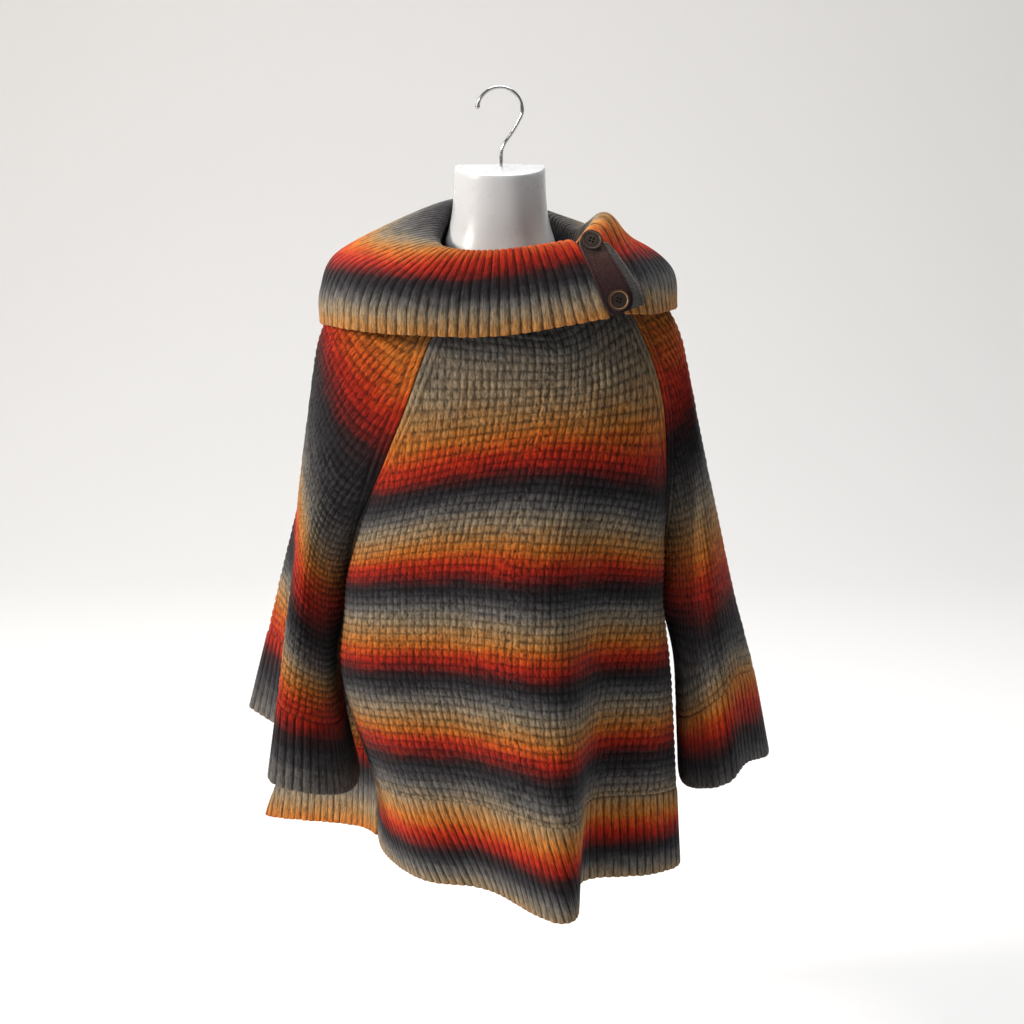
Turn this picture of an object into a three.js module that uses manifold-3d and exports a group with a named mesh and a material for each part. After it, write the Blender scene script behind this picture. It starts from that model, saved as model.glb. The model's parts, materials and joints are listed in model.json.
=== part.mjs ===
// A knitted poncho sweater on a hanging torso form, in millimetres.
// +Z is up, the front faces -Y and +X is the wearer's left. The origin is the
// inside top of the hook's bow, where a rail carries the whole thing.
//
// The garment is a raglan cape. Rows of knitting run round it at a distance
// "row" below the neck seam, through the front, the sleeves and the back. Below
// the underarm row they part into a body tube and two sleeve tubes.
import * as THREE from "three";
import { mergeVertices } from "three/addons/utils/BufferGeometryUtils.js";
import Module from "manifold-3d";

const wasm = await Module();
wasm.setup();

// Driving sizes
const wallThickness = 3;
const seamGap = 0.3;
const underarmRow = 360;
const cleftStartRow = 110;
const ribTopRow = 590;
const hemRow = 690;
const cuffTopRow = 540;
const cuffRow = 640;
const ribHeight = 1.3;
const hemRibsFront = 62;
const hemRibsBack = 70;
const cuffRibs = 46;
const collarRibs = 92;
const hookWire = 4;
const underarmGap = 9;

const degrees = Math.PI / 180;
const lerp = (a, b, t) => a + (b - a) * t;
const clamp = (x) => Math.min(1, Math.max(0, x));
const smooth = (x) => clamp(x) ** 2 * (3 - 2 * clamp(x));

// A smooth curve through a table's rows: reads one named column at x.
function column(table, key, name) {
  return (x) => {
    const last = table.length - 1;
    let i = table.findIndex((r) => r[key] > x) - 1;
    if (i < 0) i = x < table[0][key] ? 0 : last - 1;
    const slope = (k) => {
      const a = table[Math.max(0, k - 1)];
      const b = table[Math.min(last, k + 1)];
      return (b[name] - a[name]) / (b[key] - a[key]);
    };
    const [p, q] = [table[i], table[i + 1]];
    const span = q[key] - p[key];
    const t = clamp((x - p[key]) / span);
    const cubic = (2 * t ** 3 - 3 * t ** 2 + 1) * p[name] + (3 * t ** 2 - 2 * t ** 3) * q[name];
    return cubic + span * ((t ** 3 - 2 * t ** 2 + t) * slope(i) + (t ** 3 - t ** 2) * slope(i + 1));
  };
}
const columns = (table, key) =>
  Object.fromEntries(
    Object.keys(table[0]).filter((n) => n !== key).map((n) => [n, column(table, key, n)]),
  );

// Where the raglan seams lie on a row, in degrees from +X through the front.
const raglan = columns(
  [
    { row: 0, frontLeft: 48, frontRight: 120, backRight: 218, backLeft: 307 },
    { row: 60, frontLeft: 24, frontRight: 117, backRight: 212, backLeft: 307 },
    { row: 110, frontLeft: 25, frontRight: 117, backRight: 210, backLeft: 307 },
    { row: 150, frontLeft: 27, frontRight: 119, backRight: 210, backLeft: 307 },
    { row: 200, frontLeft: 29, frontRight: 122, backRight: 210, backLeft: 307 },
    { row: 280, frontLeft: 30, frontRight: 128, backRight: 210, backLeft: 307 },
    { row: 360, frontLeft: 30, frontRight: 130, backRight: 210, backLeft: 307 },
  ],
  "row",
);

// Heights of a row at its front and back middles, its seams and its shoulder ridges.
const height = columns(
  [
    { row: 0, front: -234, rightSeam: -212, leftSeam: -206, ridge: -193, backSeam: -192, back: -176 },
    { row: 60, front: -272, rightSeam: -256, leftSeam: -232, ridge: -215, backSeam: -234, back: -232 },
    { row: 110, front: -319, rightSeam: -318, leftSeam: -290, ridge: -241, backSeam: -286, back: -282 },
    { row: 150, front: -357, rightSeam: -374, leftSeam: -350, ridge: -273, backSeam: -336, back: -322 },
    { row: 200, front: -406, rightSeam: -441, leftSeam: -430, ridge: -320, backSeam: -402, back: -374 },
    { row: 280, front: -486, rightSeam: -524, leftSeam: -522, ridge: -400, backSeam: -500, back: -462 },
    { row: 360, front: -566, rightSeam: -588, leftSeam: -588, ridge: -480, backSeam: -588, back: -556 },
    { row: 450, front: -657, rightSeam: -672, leftSeam: -672, ridge: -570, backSeam: -672, back: -660 },
    { row: 590, front: -802, rightSeam: -812, leftSeam: -812, ridge: -712, backSeam: -812, back: -820 },
    { row: 690, front: -905, rightSeam: -908, leftSeam: -908, ridge: -812, backSeam: -908, back: -922 },
  ],
  "row",
);
const sleeveSeamHeight = column(
  [
    { row: 360, z: -588 },
    { row: 450, z: -664 },
    { row: 540, z: -738 },
    { row: 640, z: -820 },
  ],
  "row",
  "z",
);
const leftSleeveDrop = 24;

// Plan of the cape, used above the underarm: how far a row reaches each way.
const cape = columns(
  [
    { row: 0, right: 82, left: 84, front: 86, back: 58 },
    { row: 60, right: 138, left: 144, front: 106, back: 78 },
    { row: 110, right: 185, left: 184, front: 117, back: 86 },
    { row: 150, right: 205, left: 206, front: 126, back: 92 },
    { row: 200, right: 218, left: 219, front: 134, back: 98 },
    { row: 280, right: 230, left: 237, front: 140, back: 106 },
    { row: 360, right: 239, left: 255, front: 144, back: 116 },
  ],
  "row",
);

// Plan of the body tube: where its side seams are, its reach, and how full its sides.
const body = columns(
  [
    { row: 360, rightX: -178, leftX: 186, rightY: 4, leftY: 2,
      front: 144, back: 116, fullRight: 20, fullLeft: 22 },
    { row: 450, rightX: -166, leftX: 190, rightY: 20, leftY: 4,
      front: 146, back: 126, fullRight: 46, fullLeft: 30 },
    { row: 590, rightX: -150, leftX: 204, rightY: 56, leftY: 6,
      front: 148, back: 150, fullRight: 22, fullLeft: 16 },
    { row: 690, rightX: -150, leftX: 212, rightY: 30, leftY: 10,
      front: 150, back: 172, fullRight: 0, fullLeft: 6 },
  ],
  "row",
);

// Plan of the sleeve tubes: inner seam, outer line, reach to the front and back, and
// how far the inner side flares away from the body.
const sleevePlan = {
  right: columns(
    [
      { row: 360, inner: -178, outer: -239, fore: 98, aft: 78, y: 4, flare: 22 },
      { row: 450, inner: -195, outer: -248, fore: 108, aft: 76, y: 4, flare: 4 },
      { row: 540, inner: -188, outer: -254, fore: 114, aft: 76, y: 2, flare: 0 },
      { row: 640, inner: -170, outer: -262, fore: 120, aft: 76, y: 0, flare: 0 },
    ],
    "row",
  ),
  left: columns(
    [
      { row: 360, inner: 186, outer: 255, fore: 88, aft: 84, y: 2, flare: 22 },
      { row: 450, inner: 206, outer: 275, fore: 98, aft: 90, y: 4, flare: 4 },
      { row: 540, inner: 212, outer: 299, fore: 106, aft: 92, y: 4, flare: 0 },
      { row: 640, inner: 216, outer: 319, fore: 112, aft: 96, y: 4, flare: 0 },
    ],
    "row",
  ),
};

// Folds: a push at share "at" of a panel's row, spread either way, that grows from
// row "from" to its full size at the bottom.
const folds = {
  front: [
    { at: 0.56, spread: 0.085, x: 10, y: -96, z: -13, from: 190 },
    { at: 0.675, spread: 0.045, x: -42, y: 44, z: 0, from: 190 },
    { at: 0.09, spread: 0.09, x: 12, y: 8, z: 0, from: 470 },
    { at: 0.3, spread: 0.06, x: -4, y: -12, z: 0, from: 240 },
    { at: 0.43, spread: 0.05, x: 0, y: 12, z: 0, from: 260 },
    { at: 0.9, spread: 0.05, x: 8, y: -10, z: 0, from: 400 },
  ],
  back: [
    { at: 0.12, spread: 0.06, x: -132, y: 40, z: -18, from: 330 },
    { at: 0.24, spread: 0.075, x: -186, y: 62, z: -20, from: 330 },
    { at: 0.36, spread: 0.06, x: 4, y: -22, z: 0, from: 260 },
    { at: 0.5, spread: 0.07, x: 0, y: 34, z: 0, from: 220 },
    { at: 0.64, spread: 0.06, x: -4, y: -24, z: 0, from: 260 },
    { at: 0.8, spread: 0.08, x: 16, y: 30, z: 0, from: 300 },
  ],
  sleeve_right: [
    { at: 0.3, spread: 0.075, x: -36, y: -4, z: 0, from: 330 },
    { at: 0.46, spread: 0.045, x: 18, y: 0, z: 0, from: 330 },
    { at: 0.67, spread: 0.08, x: -68, y: 4, z: 8, from: 330 },
  ],
  sleeve_left: [
    { at: 0.52, spread: 0.08, x: 4, y: 0, z: 0, from: 300 },
    { at: 0.36, spread: 0.06, x: -10, y: 12, z: 6, from: 300 },
    { at: 0.24, spread: 0.05, x: 2, y: -8, z: 0, from: 330 },
    { at: 0.72, spread: 0.06, x: -10, y: -6, z: 0, from: 300 },
  ],
};
const foldBottom = { front: hemRow, back: hemRow, sleeve_right: cuffRow, sleeve_left: cuffRow };

const foldGrowth = 1.15;
function foldPush(panel, row, t) {
  const push = new THREE.Vector3();
  for (const { at, spread, x, y, z, from } of folds[panel]) {
    const grown = clamp((row - from) / (foldBottom[panel] - from)) ** foldGrowth;
    const near = Math.exp(-(((t - at) / spread) ** 2) / 2) * Math.sin(Math.PI * clamp(t)) ** 0.3;
    push.add(new THREE.Vector3(x, y, z).multiplyScalar(grown * near));
  }
  return push;
}

// How far a row has parted into tubes: 0 on the open cape, 1 from the underarm down.
const parting = (row) => smooth((row - cleftStartRow) / (underarmRow - cleftStartRow));

// A point of the cape's plan at an angle, a rounded oval of four reaches.
const capeSquareness = 0.84;
function capePlan(row, angle) {
  const [c, s] = [Math.cos(angle * degrees), Math.sin(angle * degrees)];
  const reachX = c > 0 ? cape.left(row) : cape.right(row);
  const reachY = s > 0 ? cape.front(row) : cape.back(row);
  return new THREE.Vector2(
    reachX * Math.sign(c) * Math.abs(c) ** capeSquareness,
    -reachY * Math.sign(s) * Math.abs(s) ** capeSquareness,
  );
}

// A point of the body tube's plan: share 0 at the right side seam, 1 at the left.
const bodySquareness = 0.62;
function bodyPlan(row, t, side) {
  const turn = Math.PI * t;
  const around = row > underarmRow ? body : cape;
  const middle = side === "front" ? -around.front(row) : around.back(row);
  const low = Math.max(row, underarmRow);
  const full = (t < 0.5 ? body.fullRight(low) : body.fullLeft(low)) * smooth(Math.min(t, 1 - t) / 0.12);
  const seamY = lerp(body.rightY(low), body.leftY(low), (1 - Math.cos(turn)) / 2);
  return new THREE.Vector2(
    lerp(body.rightX(low), body.leftX(low), (1 - Math.cos(turn)) / 2) - full * Math.sin(2 * turn),
    lerp(seamY, middle, Math.sin(turn) ** bodySquareness),
  );
}

// A point of a sleeve tube's plan: share 0 at the front seam, 1 at the back seam.
function sleeveTubePlan(row, t, side) {
  const plan = sleevePlan[side];
  const turn = 2 * Math.PI * t;
  const low = Math.max(row, underarmRow);
  const capeReach = side === "right" ? -cape.right(row) : cape.left(row);
  const [inner, outer] = [plan.inner(low), row > underarmRow ? plan.outer(row) : capeReach];
  const reach = t < 0.5 ? plan.fore(low) : plan.aft(low);
  const flare = Math.sign(inner) * plan.flare(low) * Math.abs(Math.sin(turn)) ** 1.2;
  return new THREE.Vector2(
    lerp(inner, outer, (1 - Math.cos(turn)) / 2) + flare * (1 + Math.cos(turn)) / 1.6,
    plan.y(low) - reach * Math.sign(Math.sin(turn)) * Math.abs(Math.sin(turn)) ** 0.8,
  );
}

function seamsAt(row) {
  const at = Math.min(row, underarmRow);
  return Object.fromEntries(Object.entries(raglan).map(([name, angle]) => [name, angle(at)]));
}

// Height of a row at an angle round the cape.
function rowHeight(row, angle, sleeveSide) {
  const seams = seamsAt(row);
  const below = row > underarmRow && sleeveSide;
  const drop = sleeveSide === "left" ? leftSleeveDrop * clamp(row / cuffRow) ** 2 : 0;
  const rightSeam = below ? sleeveSeamHeight(row) : height.rightSeam(row);
  const leftSeam = below ? sleeveSeamHeight(row) : height.leftSeam(row);
  const backSeam = below ? sleeveSeamHeight(row) : height.backSeam(row);
  const keys = [
    [0, height.ridge(row) - drop],
    [seams.frontLeft, leftSeam],
    [(seams.frontLeft + seams.frontRight) / 2, height.front(row)],
    [seams.frontRight, rightSeam],
    [180, height.ridge(row) - drop],
    [seams.backRight, backSeam],
    [(seams.backRight + seams.backLeft) / 2, height.back(row)],
    [seams.backLeft, backSeam],
    [360, height.ridge(row) - drop],
  ];
  const at = ((angle % 360) + 360) % 360;
  const i = keys.findIndex((k) => k[0] > at) - 1;
  const t = (at - keys[i][0]) / (keys[i + 1][0] - keys[i][0]);
  return lerp(keys[i][1], keys[i + 1][1], smooth(t));
}

// Each panel: the seams it runs between, and its plan once parted into a tube.
const panels = {
  front: { from: "frontRight", to: "frontLeft", wrap: 0, tube: (r, t) => bodyPlan(r, t, "front") },
  back: {
    from: "backRight", to: "backLeft", wrap: 0, reversed: true,
    tube: (r, t) => bodyPlan(r, t, "back"),
  },
  sleeve_right: {
    from: "frontRight",
    to: "backRight",
    wrap: 0,
    reversed: true,
    side: "right",
    tube: (r, t) => sleeveTubePlan(r, t, "right"),
  },
  sleeve_left: {
    from: "frontLeft",
    to: "backLeft",
    wrap: -360,
    side: "left",
    tube: (r, t) => sleeveTubePlan(r, t, "left"),
  },
};

// The clefts' ends stay a little apart at the underarm, and close below it. There
// the body's edges and the sleeves' edges also draw back from one another.
const drawBack = 0.8;
function underarmShift(panel, row, t) {
  const reached = parting(row) * (1 - smooth((row - underarmRow) / 40));
  const edge = Math.exp(-((Math.min(t, 1 - t) / 0.06) ** 2));
  const isBody = panel === "front" || panel === "back";
  const isFore = isBody ? panel === "front" : t < 0.5;
  const onRight = isBody ? t < 0.5 : panel === "sleeve_right";
  const x = (isBody === onRight ? 1 : -1) * drawBack * reached ** 4 * edge;
  return new THREE.Vector2(x, (isFore ? -1 : 1) * (underarmGap / 2) * reached * edge);
}

function rawPoint(panel, row, t) {
  const { from, to, wrap, side, tube } = panels[panel];
  const seams = seamsAt(row);
  const angle = lerp(seams[from], seams[to] + wrap, t);
  const onCape = capePlan(Math.min(row, underarmRow), angle);
  const plan = onCape.lerp(tube(row, t), parting(row));
  plan.add(underarmShift(panel, row, t));
  return new THREE.Vector3(plan.x, plan.y, rowHeight(row, angle, side)).add(foldPush(panel, row, t));
}

// Steps a row evenly along the cloth, so that columns keep their width.
const rowCache = new Map();
function evenShares(panel, row) {
  const key = panel + row.toFixed(3);
  if (!rowCache.has(key)) {
    const steps = 160;
    const lengths = [0];
    let previous = rawPoint(panel, row, 0);
    for (let i = 1; i <= steps; i++) {
      const next = rawPoint(panel, row, i / steps);
      lengths.push(lengths[i - 1] + next.distanceTo(previous));
      previous = next;
    }
    rowCache.set(key, lengths);
  }
  return rowCache.get(key);
}
function cloth(panel, row, t) {
  const lengths = evenShares(panel, row);
  const target = clamp(t) * lengths[lengths.length - 1];
  let i = lengths.findIndex((l) => l >= target);
  if (i < 1) i = 1;
  const within = (target - lengths[i - 1]) / (lengths[i] - lengths[i - 1]);
  return rawPoint(panel, row, (i - 1 + within) / (lengths.length - 1));
}

// The cloth's outward direction, from steps either way along its row and down it.
function outward(panel, row, t) {
  const [along, down] = [0.006, 4];
  const a = cloth(panel, row, Math.max(0, t - along));
  const b = cloth(panel, row, Math.min(1, t + along));
  const c = cloth(panel, Math.max(0, row - down), t);
  const d = cloth(panel, row + down, t);
  const normal = b.sub(a).cross(d.sub(c)).normalize();
  return panels[panel].reversed ? normal : normal.negate();
}

// The panels and shares that a panel's edge is sewn to, above and below the underarm.
const partners = {
  front: [["sleeve_right", 0, "back", 0], ["sleeve_left", 0, "back", 1]],
  back: [["sleeve_right", 1, "front", 0], ["sleeve_left", 1, "front", 1]],
  sleeve_right: [["front", 0, "sleeve_right", 1], ["back", 0, "sleeve_right", 0]],
  sleeve_left: [["front", 1, "sleeve_left", 1], ["back", 1, "sleeve_left", 0]],
};

// Which way a seam faces: the mean of its two panels, so both edges turn alike.
const handover = 30;
function seamOutward(panel, row, t) {
  const [above, aboveShare, below, belowShare] = partners[panel][t < 0.5 ? 0 : 1];
  const share = smooth((row - underarmRow) / handover);
  const direction = outward(panel, row, t);
  if (share < 1) direction.addScaledVector(outward(above, row, aboveShare), 1 - share);
  if (share > 0) direction.addScaledVector(outward(below, row, belowShare), share);
  return direction.normalize();
}

// Outer and inner point of the wall, each seam edge half a gap inside its panel.
function wallPair(panel, row, t, raise = 0) {
  const outer = cloth(panel, row, t);
  const onSeam = Math.min(t, 1 - t) < 1e-6;
  const direction = onSeam ? seamOutward(panel, row, t) : outward(panel, row, t);
  if (onSeam) {
    const inside = cloth(panel, row, t < 0.5 ? 0.02 : 0.98).sub(outer);
    inside.addScaledVector(direction, -inside.dot(direction)).normalize();
    outer.addScaledVector(inside, seamGap * 0.72);
  }
  const inner = outer.clone().addScaledVector(direction, -wallThickness);
  outer.addScaledVector(direction, raise);
  return { outer, inner };
}

// Builds closed walls: triangles between two borders that may differ in count.
class WallBuilder {
  constructor() {
    this.positions = [];
  }
  triangle(a, b, c) {
    this.positions.push(...a.toArray(), ...b.toArray(), ...c.toArray());
  }
  sheet(grid, flip) {
    for (let i = 0; i + 1 < grid.length; i++) {
      if (grid[i].length !== grid[i + 1].length) this.border(grid[i], grid[i + 1], !flip);
      else this.strip(grid[i], grid[i + 1], flip);
    }
  }
  strip(upper, lower, flip) {
    for (let j = 0; j + 1 < upper.length; j++) {
      const [a, b, c, d] = [upper[j], upper[j + 1], lower[j + 1], lower[j]];
      if (flip) {
        this.triangle(a, c, b);
        this.triangle(a, d, c);
      } else {
        this.triangle(a, b, c);
        this.triangle(a, c, d);
      }
    }
  }
  border(first, second, flip) {
    let [i, j] = [0, 0];
    const put = (a, b, c) => (flip ? this.triangle(a, c, b) : this.triangle(a, b, c));
    while (i + 1 < first.length || j + 1 < second.length) {
      const nextFirst = (i + 1) / (first.length - 1);
      const nextSecond = (j + 1) / (second.length - 1);
      if (j + 1 >= second.length || (i + 1 < first.length && nextFirst <= nextSecond)) {
        put(first[i], second[j], first[i + 1]);
        i += 1;
      } else {
        put(first[i], second[j], second[j + 1]);
        j += 1;
      }
    }
  }
  geometry() {
    let volume = 0;
    const p = this.positions;
    for (let i = 0; i < p.length; i += 9) {
      const [a, b, c] = [0, 3, 6].map((k) => new THREE.Vector3(p[i + k], p[i + k + 1], p[i + k + 2]));
      volume += a.dot(b.cross(c)) / 6;
    }
    if (volume < 0)
      for (let i = 0; i < p.length; i += 9)
        for (let k = 0; k < 3; k++) [p[i + 3 + k], p[i + 6 + k]] = [p[i + 6 + k], p[i + 3 + k]];
    const made = new THREE.BufferGeometry();
    made.setAttribute("position", new THREE.Float32BufferAttribute(p, 3));
    return mergeVertices(made, 1e-4);
  }
}

// A closed wall from an outer and an inner grid. A ring's columns close on themselves.
function wallFrom(outer, inner, isRing) {
  const wall = new WallBuilder();
  wall.sheet(outer, false);
  wall.sheet(inner, true);
  wall.border(outer[0], inner[0], false);
  wall.border(outer[outer.length - 1], inner[inner.length - 1], true);
  if (!isRing) {
    wall.border(outer.map((r) => r[0]), inner.map((r) => r[0]), true);
    wall.border(outer.map((r) => r[r.length - 1]), inner.map((r) => r[r.length - 1]), false);
  }
  return wall.geometry();
}

const range = (count) => Array.from({ length: count + 1 }, (_, i) => i / count);

// The shares of a plain panel's columns. The first inside columns lie close to each
// seam, where the flat band beside a raglan seam stands a little proud of the knit.
const seamBand = { width: 14, raise: 0.9 };
function panelShares(panel, row, columnCount) {
  const band = Math.min(0.08, seamBand.width / evenShares(panel, row).at(-1));
  const between = range(columnCount - 2).slice(1, -1).map((s) => lerp(band, 1 - band, s));
  return [0, band, ...between, 1 - band, 1];
}
function panelGeometry(panel, rows) {
  const grids = rows.map((row) =>
    panelShares(panel, row, panelColumns[panel]).map((t, i, all) =>
      wallPair(panel, row, t, i === 1 || i === all.length - 2 ? seamBand.raise : 0),
    ),
  );
  return wallFrom(grids.map((r) => r.map((p) => p.outer)), grids.map((r) => r.map((p) => p.inner)), false);
}

// A ribbed band at a panel's lower end. Its top edge keeps the panel's columns, and
// below it the ribs stand out of the outer points only.
function ribGeometry(panel, rows, ribs, isRing) {
  const pairAt = (row, t, raise) => {
    if (!isRing) return wallPair(panel, row, t, raise);
    const outer = cloth(panel, row, t % 1);
    const away = outward(panel, row, Math.min(0.996, Math.max(0.004, t % 1)));
    const inner = outer.clone().addScaledVector(away, -wallThickness);
    return { outer: outer.addScaledVector(away, raise), inner };
  };
  const topPairs = panelShares(panel, rows[0], panelColumns[panel]).map((t) => pairAt(rows[0], t, 0));
  const outer = [topPairs.map((p) => p.outer)];
  const inner = [topPairs.map((p) => p.inner)];
  for (const row of rows.slice(1)) {
    outer.push(range(2 * ribs).map((t, i) => pairAt(row, t, i % 2 ? ribHeight : 0).outer));
    inner.push(range(ribs).map((t) => pairAt(row, t, 0).inner));
  }
  return wallFrom(outer, inner, isRing);
}

const rowsBetween = (from, to, count) => range(count).map((s) => lerp(from, to, s));

function part(name, geometry, color, roughness, metalness = 0) {
  const mesh = new THREE.Mesh(geometry, new THREE.MeshStandardMaterial({ color, roughness, metalness }));
  mesh.name = name;
  return mesh;
}

const knitTop = 1;
const panelColumns = { front: 26, back: 26, sleeve_right: 22, sleeve_left: 22 };
const seamRows = [
  ...rowsBetween(knitTop, cleftStartRow, 3),
  ...rowsBetween(cleftStartRow, underarmRow, 6).slice(1),
];
const bodyRows = [...seamRows, 375, 390, 412, ...rowsBetween(450, ribTopRow, 3)];
const sleeveRows = [...seamRows, 375, 390, 412, ...rowsBetween(450, cuffTopRow, 2)];

// The collar: a stand from the neck seam up to its crest, then a deep fall that is
// folded out over the shoulders. Stations run from the end under the strap round
// the front, the right shoulder and the back to the end that passes beneath.
const collarStations = [
  { neck: 47, crest: [80, -93, -163], out: [104, -117, -192],
    turn: [113, -122, -216], edge: [124, -124, -244] },
  { neck: 90, crest: [0, -98, -174], out: [0, -118, -205],
    turn: [0, -123, -232], edge: [0, -126, -264] },
  { neck: 128, crest: [-58, -86, -173], out: [-100, -110, -204],
    turn: [-112, -118, -232], edge: [-114, -121, -263] },
  { neck: 155, crest: [-74, -50, -166], out: [-156, -68, -190],
    turn: [-180, -74, -224], edge: [-183, -78, -262] },
  { neck: 180, crest: [-68, -10, -150], out: [-181, 0, -186],
    turn: [-203, 8, -228], edge: [-205, 10, -268] },
  { neck: 215, crest: [-53, 25, -135], out: [-112, 60, -164],
    turn: [-142, 92, -212], edge: [-152, 106, -264] },
  { neck: 270, crest: [0, 42, -131], out: [0, 84, -160],
    turn: [0, 110, -210], edge: [0, 118, -266] },
  { neck: 322, crest: [60, 30, -151], out: [108, 72, -177],
    turn: [138, 94, -220], edge: [148, 104, -264] },
  { neck: 358, crest: [90, 2, -162], out: [158, 4, -178],
    turn: [196, 6, -208], edge: [202, 6, -252] },
  { neck: 382, crest: [115, -36, -140], out: [146, -60, -172],
    turn: [168, -84, -204], edge: [176, -94, -244] },
  { neck: 400, crest: [95, -82, -160], out: [117, -106, -190],
    turn: [127, -115, -214], edge: [139, -117, -241] },
];
const collarProfile = [0, 0.07, 0.17, 0.22, 0.28, 0.44, 0.6, 0.78, 1];
// Its ribs are on the side that shows once it is folded out.
const collarWall = { crest: 3.3, trough: 2.1 };
const collarSeat = -0.1;

// Steps the stations evenly along the collar's outer turn, so that its ribs keep
// their width.
const collarSteps = (() => {
  const lengths = [0];
  const turns = collarStations.map((s) => s.turn);
  for (let i = 1; i <= 200; i++) {
    const before = splineAt(turns, ((i - 1) / 200) * (turns.length - 1));
    const here = splineAt(turns, (i / 200) * (turns.length - 1));
    lengths.push(lengths[i - 1] + here.distanceTo(before));
  }
  return lengths.map((l) => l / lengths[200]);
})();
function stationAt(u) {
  const i = Math.max(1, collarSteps.findIndex((l) => l >= clamp(u) - 1e-9));
  const within = (clamp(u) - collarSteps[i - 1]) / (collarSteps[i] - collarSteps[i - 1]);
  return ((i - 1 + within) / 200) * (collarStations.length - 1);
}

function collarFace(u, v) {
  const rings = [];
  const at = stationAt(u);
  const angle = splineAt(collarStations.map((s) => [s.neck, 0, 0]), at).x;
  const base = capePlan(0, angle);
  rings.push(new THREE.Vector3(base.x, base.y, rowHeight(0, angle) + collarSeat));
  for (const name of ["crest", "out", "turn", "edge"]) {
    rings.push(splineAt(collarStations.map((s) => s[name]), at));
  }
  const stops = [0, 0.17, 0.5, 0.72, 1];
  const table = rings.map((p, i) => ({ v: stops[i], x: p.x, y: p.y, z: p.z }));
  const through = columns(table, "v");
  return new THREE.Vector3(through.x(v), through.y(v), through.z(v));
}

// A point of a smooth curve through a list of points, by position in the list.
function splineAt(points, at) {
  const table = points.map(([x, y, z], i) => ({ i, x, y, z }));
  const through = columns(table, "i");
  return new THREE.Vector3(through.x(at), through.y(at), through.z(at));
}

function collarGeometry() {
  const outer = [];
  const inner = [];
  const step = 0.004;
  for (const v of collarProfile) {
    const outerRow = [];
    const innerRow = [];
    for (let i = 0; i <= 2 * collarRibs; i++) {
      const u = i / (2 * collarRibs);
      const face = collarFace(u, v);
      const along = collarFace(Math.min(1, u + step), v).sub(collarFace(Math.max(0, u - step), v));
      const down = collarFace(u, Math.min(1, v + 0.02)).sub(collarFace(u, Math.max(0, v - 0.02)));
      const away = along.cross(down).normalize();
      if (i % 2 === 0) innerRow.push(face.clone());
      outerRow.push(face.addScaledVector(away, i % 2 ? collarWall.crest : collarWall.trough));
    }
    outer.push(outerRow);
    inner.push(innerRow);
  }
  return wallFrom(outer, inner, false);
}

// The strap over the collar's split and the tab beneath it share one patch: its
// left and right edges down the front of the collar.
const patchLeft = [
  [91, -101, -151], [90, -109, -164], [97, -119, -180], [105, -127, -197], [114, -133, -220], [121, -136, -242],
];
const patchRight = [
  [113, -97, -151], [119, -104, -163], [128, -113, -178], [139, -120, -195], [149, -126, -213], [154, -129, -231],
];
const patchSeat = new THREE.Vector3(-1.2, 4.5, -1.3);
function patchPoint(s, t) {
  const at = s * (patchLeft.length - 1);
  const point = splineAt(patchLeft, at).lerp(splineAt(patchRight, at), t);
  return point.add(patchSeat);
}
function patchOutward(s, t) {
  const across = patchPoint(s, t + 0.02).sub(patchPoint(s, t - 0.02));
  const down = patchPoint(Math.min(1, s + 0.02), t).sub(patchPoint(Math.max(0, s - 0.02), t));
  return down.cross(across).normalize();
}
function patchGeometry(span, lift, thickness) {
  const outer = [];
  const inner = [];
  for (const along of range(12)) {
    const s = lerp(span.top, span.bottom, along);
    const half = ((span.right - span.left) / 2) * (1 - 0.45 * Math.abs(2 * along - 1) ** 7);
    const middle = (span.right + span.left) / 2;
    const faces = [];
    const backs = [];
    for (const across of range(4)) {
      const t = middle + half * (2 * across - 1);
      const face = patchPoint(s, t);
      const away = patchOutward(s, t);
      backs.push(face.clone().addScaledVector(away, lift - thickness));
      faces.push(face.addScaledVector(away, lift));
    }
    outer.push(faces);
    inner.push(backs);
  }
  return wallFrom(outer, inner, false);
}
const strapSpan = { top: 0, bottom: 1, left: 0, right: 1 };
const tabSpan = { top: 0.16, bottom: 1.22, left: 0.3, right: 1.3 };
const strapThickness = 2.4;
const tabThickness = 2;

// Solids are cut with manifold-3d and read back as plain geometry.
function solidFrom(geometry) {
  const loose = geometry.index ? geometry.toNonIndexed() : geometry;
  const bare = new THREE.BufferGeometry().setAttribute("position", loose.getAttribute("position"));
  const merged = mergeVertices(bare, 1e-4);
  return new wasm.Manifold(
    new wasm.Mesh({
      numProp: 3,
      vertProperties: merged.attributes.position.array,
      triVerts: new Uint32Array(merged.index.array),
    }),
  );
}
function geometryFrom(solid) {
  const made = solid.getMesh();
  const geometry = new THREE.BufferGeometry();
  geometry.setAttribute("position", new THREE.Float32BufferAttribute(made.vertProperties, 3));
  geometry.setIndex([...made.triVerts]);
  return geometry;
}

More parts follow.
